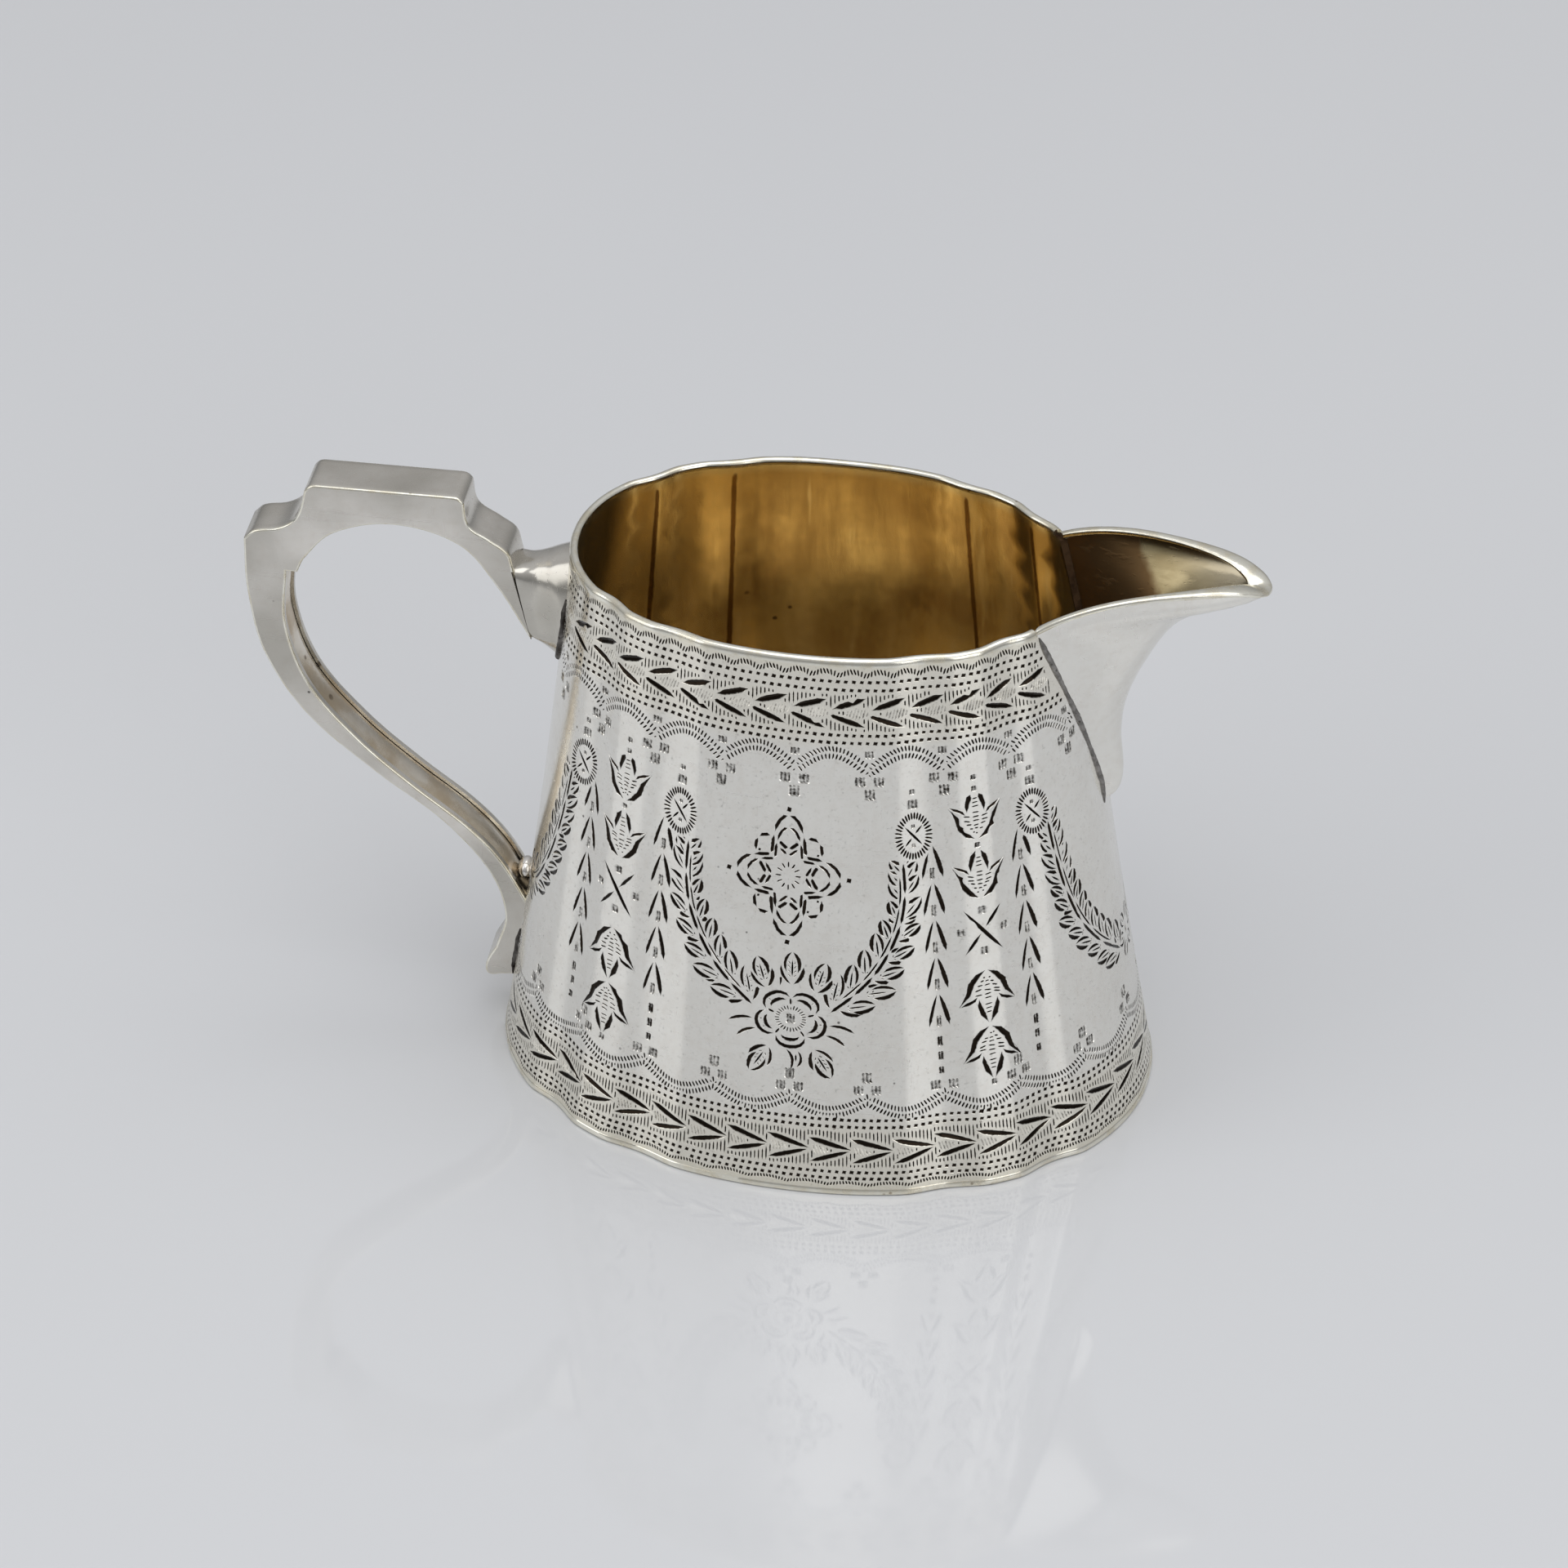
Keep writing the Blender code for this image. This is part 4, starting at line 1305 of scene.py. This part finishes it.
def engraved_wall(plan):
    """The wall as one closed sheet: its cut outer face, its gilt inner face and their edges."""
    border = wall_border()
    count = len(border)
    ring = [(index, (index + 1) % count) for index in range(count)]
    stained = [float(beside_opening(point)) for point in border]
    plan_edges = [(first + count, second + count) for first, second in plan.edges]
    fill = grid_points(GRID, border + plan.points, GRID_CLEAR)
    corners, faces, origins = triangulated(border + plan.points + fill, ring + plan_edges)
    sunk = greatest([0.0] * count + plan.depths, origins)
    cuts = greatest(stained + plan.tones, origins)
    around = [[] for corner in corners]
    for face in faces:
        for index in face:
            around[index].extend(face)
    for index, source in enumerate(origins):
        if not source:
            near = [other for other in around[index] if sunk[other]]
            sunk[index] = 0.6 * max((sunk[other] for other in near), default=0.0)
            cuts[index] = 0.8 * max((cuts[other] for other in near), default=0.0)

    creases, crease_shade = inner_creases()
    inner_fill = grid_points(INNER_GRID, border + creases, 0.45 * INNER_GRID)
    inner_corners, inner_faces, inner_origins = triangulated(border + creases + inner_fill, ring)
    # On the inner face the cut attribute holds the stain beside the opening and painted shade along
    # the creases.
    cuts += greatest(stained + crease_shade, inner_origins)

    places = []
    normals = []
    inner_sunk = [SHEET] * len(inner_corners)
    for skin, offsets, facing in ((corners, sunk, 1.0), (inner_corners, inner_sunk, -1.0)):
        for corner, offset in zip(skin, offsets):
            angle = angle_at(corner.x)
            places.append(wall_point(angle, corner.y, -offset))
            normals.append(wall_normal(angle, corner.y) * facing)

    outer_ends = seam_joined(corners)
    inner_ends = [len(corners) + index for index in seam_joined(inner_corners)]
    made = []
    kinds = []
    for face in faces:
        made.append(tuple(outer_ends[index] for index in face))
        kinds.append("cut" if any(sunk[index] > 0.0 for index in face) else "plain")
    for face in inner_faces:
        made.append(tuple(inner_ends[index] for index in reversed(face)))
        kinds.append("inside")

    def on_border(sources, ends):
        """The corner that each point of the border became."""
        became = {}
        for end, source in zip(ends, sources):
            became.update((index, end) for index in source if index < count)
        return became

    outer_of = on_border(origins, outer_ends)
    inner_of = on_border(inner_origins, inner_ends)
    for first, second in ring:
        low, high = border[first], border[second]
        if abs(low.x - high.x) < 1e-6 and not SEAM_NEAR <= low.x <= AROUND - SEAM_NEAR:
            continue
        made.append((outer_of[second], outer_of[first], inner_of[first], inner_of[second]))
        kinds.append("edge")
    return build_wall(places, normals, made, kinds, cuts)


def build_wall(places, normals, faces, kinds, cuts):
    """Turns the wall's lists into an object with its own normals, slots and cut attribute."""
    used = sorted({index for face in faces for index in face})
    fresh = {old: new for new, old in enumerate(used)}
    mesh = bpy.data.meshes.new("engraved_body")
    new_faces = [tuple(fresh[index] for index in face) for face in faces]
    mesh.from_pydata([places[index] * MM for index in used], [], new_faces)
    for metal in (engraved_silver(), gilt_inside(), stained_joint()):
        mesh.materials.append(metal)
    slots = {"plain": 0, "cut": 0, "inside": 1, "edge": 2}
    mesh.polygons.foreach_set("material_index", [slots[kind] for kind in kinds])
    mesh.polygons.foreach_set("use_smooth", [True] * len(faces))
    shade = mesh.attributes.new("cut", "FLOAT", "POINT")
    shade.data.foreach_set("value", [cuts[index] for index in used])
    mesh.update()
    corner_normals = []
    for polygon, face, kind in zip(mesh.polygons, faces, kinds):
        flat = polygon.normal.copy()
        rounded = kind in ("plain", "inside")
        corner_normals += [normals[index] if rounded else flat for index in face]
    mesh.normals_split_custom_set(corner_normals)
    return placed_object("engraved_body", mesh)


# ---------------------------------------------------------------- plain pieces

def placed_object(name, content):
    """A new object in the scene."""
    made = bpy.data.objects.new(name, content)
    bpy.context.collection.objects.link(made)
    return made


def smoothed(mesh, sharp=35.0):
    """Smooth shading that breaks at edges sharper than an angle."""
    mesh.shade_smooth()
    mesh.set_sharp_from_angle(angle=math.radians(sharp))
    return mesh


def solid(name, work, metals, sharp=35.0):
    """Turns a bmesh in millimetres into a named object with its materials."""
    bmesh.ops.recalc_face_normals(work, faces=work.faces)
    bmesh.ops.scale(work, vec=(MM, MM, MM), verts=work.verts)
    mesh = bpy.data.meshes.new(name)
    work.to_mesh(mesh)
    work.free()
    for metal in metals:
        mesh.materials.append(metal)
    return placed_object(name, smoothed(mesh, sharp))


def loft(loops, ring=False):
    """Joins loops of equal length into one closed skin. A ring joins the last to the first."""
    work = bmesh.new()
    rows = [[work.verts.new(point) for point in loop] for loop in loops]
    pairs = list(zip(rows, rows[1:]))
    if ring:
        pairs.append((rows[-1], rows[0]))
    for low, high in pairs:
        count = len(low)
        for here in range(count):
            after = (here + 1) % count
            work.faces.new((low[here], low[after], high[after], high[here]))
    if not ring:
        work.faces.new(rows[0])
        work.faces.new(rows[-1])
    return work


def wall_loop(z, offset, steps):
    return [wall_point(360.0 * step / steps, z, offset) for step in range(steps)]


def body_cutter(offset):
    """The body's outer volume moved outwards by offset, to trim what is soldered on it."""
    heights = [-4.0] + [RIM_Z * step / 12.0 for step in range(13)] + [RIM_Z + 12.0]
    return solid("body_cutter", loft([wall_loop(z, offset, 288) for z in heights]), [])


def trimmed(target, tool):
    """Cuts tool away from target and keeps the result as target's own mesh."""
    boolean = target.modifiers.new("trim", "BOOLEAN")
    boolean.operation = "DIFFERENCE"
    boolean.solver = "EXACT"
    boolean.object = tool
    graph = bpy.context.evaluated_depsgraph_get()
    mesh = bpy.data.meshes.new_from_object(target.evaluated_get(graph))
    target.modifiers.clear()
    target.data = smoothed(mesh)
    return target


def base_plate():
    """The flat base, its edge rounded over and pale, gilt inside the jug."""
    rounding = 0.35
    rings = []
    for step in range(5):
        angle = 0.5 * math.pi * step / 4.0
        z = rounding * (1.0 - math.cos(angle))
        rings.append((z, rounding * (math.sin(angle) - 1.0) + 0.04))
    rings.append((BASE_THICK - 0.15, 0.06))
    rings += [(BASE_THICK, offset) for offset in (-0.05, -0.5 * SHEET, -1.2)]
    rings.append((BASE_THICK - 0.15, -8.0))
    work = loft([wall_loop(z, offset, 432) for z, offset in rings])
    made = solid("base", work, [pale_edge("base_edge"), bpy.data.materials["gilt_inside"]])
    for polygon in made.data.polygons:
        if polygon.normal.z > 0.9 and polygon.center.z > 0.5 * BASE_THICK * MM:
            polygon.material_index = 1
    return made


def rim_wire():
    """Half round wire on the wall's edge, slightly uneven from wear, open at the spout."""
    low = RIM_Z - RIM_WIRE_HEIGHT
    lap = 0.15
    rise = 0.12
    section = []
    for step in range(9):
        angle = math.pi * step / 8.0
        out = lap - 0.5 * RIM_WIRE_WIDTH * (1.0 - math.cos(angle))
        section.append((out, low + rise + (RIM_WIRE_HEIGHT - rise) * math.sin(angle) ** 0.7))
    section += [(lap - RIM_WIRE_WIDTH, low), (lap, low)]
    start = math.degrees(math.asin((SPOUT_ROOT_HALF_WIDTH / RIM_HALF_WIDTH) ** 1.06)) + 0.3
    steps = 420
    loops = []
    for step in range(steps + 1):
        angle = mix(start, 360.0 - start, step / steps)
        slow = 0.05 * math.sin(math.radians(5.0 * angle))
        worn = max(slow + 0.03 * math.sin(math.radians(13.0 * angle)), 0.0)
        loops.append([wall_point(angle, z - worn * (z > low), out) for out, z in section])
    return solid("rim", loft(loops), [pale_edge("rim_edge")], 60.0)


def spout_shell(keel, cutter):
    """The spout's folded sheet, silver outside and gilt inside."""
    lowest = keel[0].y
    rows = 46
    columns = 34
    turns = [SPOUT_OVERRUN * step / columns for step in range(-columns, columns + 1)]
    work = bmesh.new()

    def skin(line, set_in):
        """The corners of one face of the sheet, row by row."""
        made = []
        for row in range(rows + 1):
            heights = [mix(lowest, lip_z(turn) - LIP_WIRE_RADIUS, row / rows) for turn in turns]
            points = [spout_point(line, turn, z, set_in) for turn, z in zip(turns, heights)]
            made.append([work.verts.new(point) for point in points])
        return made

    outer = skin(keel, 0.0)
    inner = skin(set_right(keel, -SHEET), SHEET)
    last = 2 * columns
    for sheet, slot in ((outer, 0), (inner, 1)):
        for low, high in zip(sheet, sheet[1:]):
            for here in range(last):
                face = work.faces.new((low[here], low[here + 1], high[here + 1], high[here]))
                face.material_index = slot
    for row in (0, rows):
        front, back = outer[row], inner[row]
        for here in range(last):
            work.faces.new((front[here], front[here + 1], back[here + 1], back[here]))
    for end in (0, last):
        for row in range(rows):
            front, back = outer[row + 1][end], inner[row + 1][end]
            work.faces.new((outer[row][end], front, back, inner[row][end]))
    metals = [polished_silver("spout_silver").made, spout_inside()]
    return trimmed(solid("spout", work, metals), cutter)


def across_path(path, upright):
    """Each point of a path with two directions square to the path: sideways and above."""
    for before, point, after in neighbours(path):
        along = (after - before).normalized()
        side = along.cross(upright).normalized()
        yield point, side, side.cross(along)


def circle(sides):
    """Cosine and sine of even steps round a circle."""
    angles = [2.0 * math.pi * step / sides for step in range(sides)]
    return [(math.cos(angle), math.sin(angle)) for angle in angles]


def lip_wire(keel, cutter):
    """The rounded lip: a wire that widens into a flat band at the tip."""
    path = []
    widths = []
    count = 60
    squared = 0.8
    for column in range(-count, count + 1):
        across = 1.08 * math.sin(0.5 * math.pi * column / count)
        point = spout_point(keel, across, lip_z(across))
        tip = (1.0 - min(abs(across), 1.0) ** 2) ** 4
        point.x -= 0.5 * SHEET + 0.8 * tip
        point.y -= math.copysign(0.5 * SHEET, across) * min(abs(across) * 4.0, 1.0)
        point.z -= LIP_WIRE_RADIUS
        path.append(point)
        widths.append(0.5 + 1.05 * tip)
    loops = []
    for (point, side, above), width in zip(across_path(path, Vector((0.0, 0.0, 1.0))), widths):
        loop = []
        for cosine, sine in circle(20):
            rise = signed_power(sine, squared) * 0.8 * LIP_WIRE_RADIUS
            loop.append(point + side * (signed_power(cosine, squared) * width) + above * rise)
        loops.append(loop)
    return trimmed(solid("spout_lip", loft(loops), [pale_edge("lip_edge")]), cutter)


def bead(name, path, radii, metal, seed):
    """An uneven bead of metal along a path, thinning out at both ends."""
    chance = random.Random(seed)
    loops = []
    for here, (point, side, above) in enumerate(across_path(path, Vector((0.3, 0.2, 1.0)))):
        ends = min(here, len(path) - 1 - here) / 4.0
        radius = radii[here] * min(1.0, 0.25 + ends)
        loop = []
        for cosine, sine in circle(10):
            reach = radius * chance.uniform(0.88, 1.1)
            loop.append(point + (side * cosine + above * sine) * reach)
        loops.append(loop)
    return solid(name, loft(loops), [metal], 70.0)


def spout_seams(metal):
    """Solder along both edges of the spout where it meets the body."""
    count = 70
    made = []
    for side, name in ((-1.0, "spout_solder_near"), (1.0, "spout_solder_far")):
        path = []
        radii = []
        for step in range(count + 1):
            z = mix(SPOUT_BOTTOM_Z + 0.3, SPOUT_ROOT_Z - 0.8, step / count)
            y = spout_half_width(z) * 0.995
            path.append(Vector((body_x(y, z) + 0.02, side * (y + 0.05), z)))
            radii.append(0.26 + 0.12 * math.sin(9.0 * step / count) ** 2)
        made.append(bead(name, path, radii, metal, 3))
    return made


def at_socket(edge):
    """True for the straight end of a handle plate, which runs on into the socket."""
    ends = (HANDLE_SHOULDER[-1], HANDLE_ARCH[0])
    return all(
        any(math.hypot(corner.co.x - end[0], corner.co.z - end[1]) < 0.01 for corner in edge.verts)
        for end in ends
    )


def profile_piece(name, outline, low_y, high_y, metals, cutter, bevel):
    """A flat piece cut to an outline in the XZ plane, its long edges at y in bevel eased."""
    work = bmesh.new()
    face = work.faces.new([work.verts.new((point.x, low_y, point.y)) for point in outline])
    pushed = bmesh.ops.extrude_face_region(work, geom=[face])
    moved = [item for item in pushed["geom"] if isinstance(item, bmesh.types.BMVert)]
    bmesh.ops.translate(work, verts=moved, vec=(0.0, high_y - low_y, 0.0))
    if bevel:
        bmesh.ops.recalc_face_normals(work, faces=work.faces)
        rims = [edge for edge in work.edges
                if abs(edge.verts[0].co.y - edge.verts[1].co.y) < 1e-6
                and any(abs(edge.verts[0].co.y - y) < 1e-4 for y in bevel)
                and not at_socket(edge)]
        bmesh.ops.bevel(
            work, geom=rims, offset=0.3, segments=3, profile=0.5, affect="EDGES", material=1)
    return trimmed(solid(name, work, metals), cutter)


def strap_loft(name, path, top, bulge, half, metal, cutter):
    """A strap between the plates along a path, crowned across by bulge."""
    columns = 8
    loops = []
    for front, back in zip(set_right(path, top), set_right(path, top + STRAP)):
        out = (front - back).normalized()
        loop = []
        for step in range(columns + 1):
            across = 2.0 * step / columns - 1.0
            point = front + out * (bulge * (1.0 - across * across))
            loop.append(Vector((point.x, across * half, point.y)))
        loop += [Vector((back.x, across * half, back.y)) for across in (1.0, -1.0)]
        loops.append(loop)
    return trimmed(solid(name, loft(loops), [metal], 40.0), cutter)


def handle(cutter):
    """Two plates, the outer strap flush between them and two crowned inner straps."""
    outer = eased(joined(
        smooth_run(HANDLE_TOE, 6), smooth_run(HANDLE_BACK, 9), smooth_run(HANDLE_NOTCH, 6),
        smooth_run(HANDLE_THUMB_REST, 1), smooth_run(HANDLE_SHOULDER, 6),
    ))
    arch = smooth_run(HANDLE_ARCH, 9)
    inside = smooth_run(HANDLE_INSIDE, 9)
    half = 0.5 * HANDLE_WIDTH
    between = half - PLATE
    lower_half = between - 0.12
    # The last value, 0.85, darkens the handle with patches of painted shade.
    silver = polished_silver("handle_silver", 0.15, 0.17, 1.3, 0.85).made
    metals = [silver, pale_edge("handle_edge")]
    straps = strap_metal()
    outline = joined(outer, arch, inside)
    back = outer + set_right(outer, STRAP)[::-1]
    return [
        profile_piece("handle_plate_near", outline, -half, PLATE - half, metals, cutter, (-half,)),
        profile_piece("handle_plate_far", outline, half - PLATE, half, metals, cutter, (half,)),
        profile_piece("handle_back_strap", back, -between, between, [silver], cutter, ()),
        strap_loft("handle_arch_strap", arch, 0.12, 0.1, between - 0.04, silver, cutter),
        strap_loft("handle_lower_strap", inside, STRAP_RECESS, 0.42, lower_half, straps, cutter),
    ]


def socket(cutter):
    """The flared boss, a smooth swell from the handle's end to the body."""
    steps = 8
    loops = []
    for row in range(steps * (len(SOCKET_SECTIONS) - 1)):
        loops.append([socket_point(row / steps, 2.0 * math.pi * side / 72.0) for side in range(72)])
    # The last value, 0.85, darkens the socket with patches of painted shade.
    metal = polished_silver("socket_silver", 0.1, 0.14, 1.3, 0.85).made
    return trimmed(solid("handle_socket", loft(loops), [metal]), cutter)


def section_at(share):
    """The socket's section values between its listed sections, by a smooth spline."""
    low = min(int(share), len(SOCKET_SECTIONS) - 2)
    part = share - low
    square = part * part
    cube = square * part
    padded = (SOCKET_SECTIONS[0], *SOCKET_SECTIONS, SOCKET_SECTIONS[-1])
    values = []
    for before, first, second, after in zip(*padded[low:low + 4]):
        leaving = 0.5 * (second - before)
        arriving = 0.5 * (after - first)
        values.append(
            (2.0 * cube - 3.0 * square + 1.0) * first + (cube - 2.0 * square + part) * leaving
            + (3.0 * square - 2.0 * cube) * second + (cube - square) * arriving
        )
    return values


def socket_point(share, angle):
    """A point of the socket's skin, share sections along and at an angle round it."""
    top = Vector(HANDLE_SHOULDER[-1])
    bottom = Vector(HANDLE_ARCH[0])
    down = (bottom - top).normalized()
    toward_body = Vector((-down.y, down.x))
    away, drop, half_height, half_width, squareness = section_at(share)
    power = 2.0 / squareness
    centre = (top + bottom) / 2.0 + toward_body * away + down * drop
    point = centre + down * (half_height * signed_power(math.cos(angle), power))
    return Vector((point.x, half_width * signed_power(math.sin(angle), power), point.y))


def socket_seam(metal):
    """Solder round the socket where it meets the body."""
    path = []
    count = 60
    trials = 90
    for step in range(count + 1):
        angle = math.radians(mix(-118.0, 118.0, step / count))
        skin = [socket_point(4.9 * trial / trials, angle) for trial in range(trials)]
        nearest = min(skin, key=lambda point: abs(point.x - body_x(point.y, point.z, -1.0)))
        wall_x = body_x(nearest.y, nearest.z, -1.0)
        path.append(Vector((wall_x - 0.05, nearest.y, nearest.z)))
    return bead("socket_solder", path, [0.45] * len(path), metal, 5)


def foot_seam(metal):
    """The solder down both sides of the foot, in the corner between its plates and the body."""
    made = []
    out = 0.5 * HANDLE_WIDTH + 0.1
    for side, name, seed in ((-1.0, "foot_solder_near", 6), (1.0, "foot_solder_far", 7)):
        heights = [mix(7.2, 14.5, step / 16) for step in range(17)]
        path = [Vector((body_x(0.0, z, -1.0) + 0.1, side * out, z)) for z in heights]
        made.append(bead(name, path, [0.42] * len(path), metal, seed))
    return made


def solder_ball(metal):
    """A smooth ball of solder in the fork of the lower arm and the body."""
    z = 22.4
    work = bmesh.new()
    bmesh.ops.create_icosphere(work, subdivisions=4, radius=1.25)
    bmesh.ops.scale(work, verts=work.verts, vec=(0.85, 1.35, 1.1))
    bmesh.ops.translate(work, verts=work.verts, vec=(body_x(0.0, z, -1.0) - 0.7, 0.0, z))
    return solid("fork_solder", work, [metal])


# ---------------------------------------------------------------- room, light and camera

def table_top():
    """A wide glossy pale table."""
    bpy.ops.mesh.primitive_plane_add(size=6.0, location=(0.0, 0.0, -0.00005))
    made = bpy.context.object
    made.name = "table_top"
    shade = Shade("table_gloss")
    clouds = shade.patches(0.3, 0.7, 3.0, 2.0)
    colour = shade.tinted((0.70, 0.71, 0.73), (clouds, 1.0, (0.72, 0.73, 0.75)))
    shade.put(shade.shader, Base_Color=colour, Roughness=0.05, IOR=1.6)
    made.data.materials.append(shade.made)


def softbox(name, place, target, width, height, power):
    light = bpy.data.lights.new(name, "AREA")
    light.shape = "RECTANGLE"
    light.size = width
    light.size_y = height
    light.energy = power
    made = placed_object(name, light)
    made.location = place
    made.rotation_euler = (Vector(target) - Vector(place)).to_track_quat("-Z", "Y").to_euler()


def studio():
    """Even pale surroundings, brighter overhead, and three soft boxes."""
    world = bpy.data.worlds.new("studio")
    world.use_nodes = True
    bpy.context.scene.world = world
    tree = world.node_tree
    coordinates = tree.nodes.new("ShaderNodeTexCoord")
    parts = tree.nodes.new("ShaderNodeSeparateXYZ")
    ramp = tree.nodes.new("ShaderNodeValToRGB")
    stops = ramp.color_ramp.elements
    stops.new(0.4)
    below, level, overhead = (0.27, 0.275, 0.28), (0.43, 0.43, 0.435), (0.68, 0.685, 0.70)
    for stop, colour in zip(stops, (below, level, overhead)):
        stop.color = (*colour, 1.0)
    tree.links.new(coordinates.outputs["Generated"], parts.inputs["Vector"])
    tree.links.new(parts.outputs["Z"], ramp.inputs["Fac"])
    tree.links.new(ramp.outputs["Color"], tree.nodes["Background"].inputs["Color"])
    jug = (0.0, 0.0, 0.03)
    softbox("overhead", (0.1, -0.1, 0.9), jug, 1.0, 0.8, 2.7)
    softbox("left_box", (-0.8, -0.5, 0.5), jug, 0.6, 0.8, 1.6)
    softbox("right_box", (0.7, -0.7, 0.45), jug, 0.5, 0.7, 1.3)


def camera():
    """Looks down on the front of the jug from a long way off."""
    azimuth = math.radians(9.6)
    elevation = math.radians(37.0)
    roll = math.radians(0.45)
    distance = 0.8
    target = Vector((-5.9, -1.0, 41.0)) * MM
    back = Vector((
        math.sin(azimuth) * math.cos(elevation), -math.cos(azimuth) * math.cos(elevation),
        math.sin(elevation),
    ))
    data = bpy.data.cameras.new("camera")
    data.lens = 145.7
    data.sensor_width = 36.0
    data.clip_start = 0.01
    made = placed_object("camera", data)
    made.location = target + back * distance
    made.rotation_euler = back.to_track_quat("Z", "Y").to_euler()
    made.rotation_euler.rotate_axis("Z", roll)
    bpy.context.scene.camera = made


def ride(piece, slot, *nodes):
    """Fixes a piece to the jug and hides the frame nodes that it stands for. slot, the name of its
    finish, is not used.
    """
    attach(piece, "root")
    if nodes:
        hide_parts(*nodes)


def main():
    camera()
    table_top()
    studio()
    keel = smooth_run(SPOUT_KEEL, 4)
    cutter = body_cutter(-0.4)
    solder = solder_metal("spout_joint", 0.3)
    dirty_solder = solder_metal("handle_joint", 0.75)
    ride(engraved_wall(engraving()), "body_silver", "body_wall")
    ride(base_plate(), "base_silver", "base_plate")
    ride(rim_wire(), "edge_silver", "rim_wire")
    ride(spout_shell(keel, cutter), "body_silver", "spout_shell")
    ride(lip_wire(keel, cutter), "edge_silver", "spout_lip_wire")
    replaced = (
        "handle_side_near", "handle_side_far", "handle_outer_strap",
        "handle_inner_strap_upper", "handle_inner_strap_lower",
    )
    for piece, node in zip(handle(cutter), replaced):
        ride(piece, "handle_silver", node)
    ride(socket(cutter), "handle_silver", "handle_upper_socket")
    for piece in spout_seams(solder):
        ride(piece, "body_silver")
    ride(socket_seam(dirty_solder), "handle_silver")
    for piece in foot_seam(dirty_solder):
        ride(piece, "handle_silver")
    ride(solder_ball(bpy.data.materials["handle_silver"]), "handle_silver")
    bpy.data.objects.remove(cutter, do_unlink=True)
    bpy.context.scene.view_settings.view_transform = "Standard"


main()
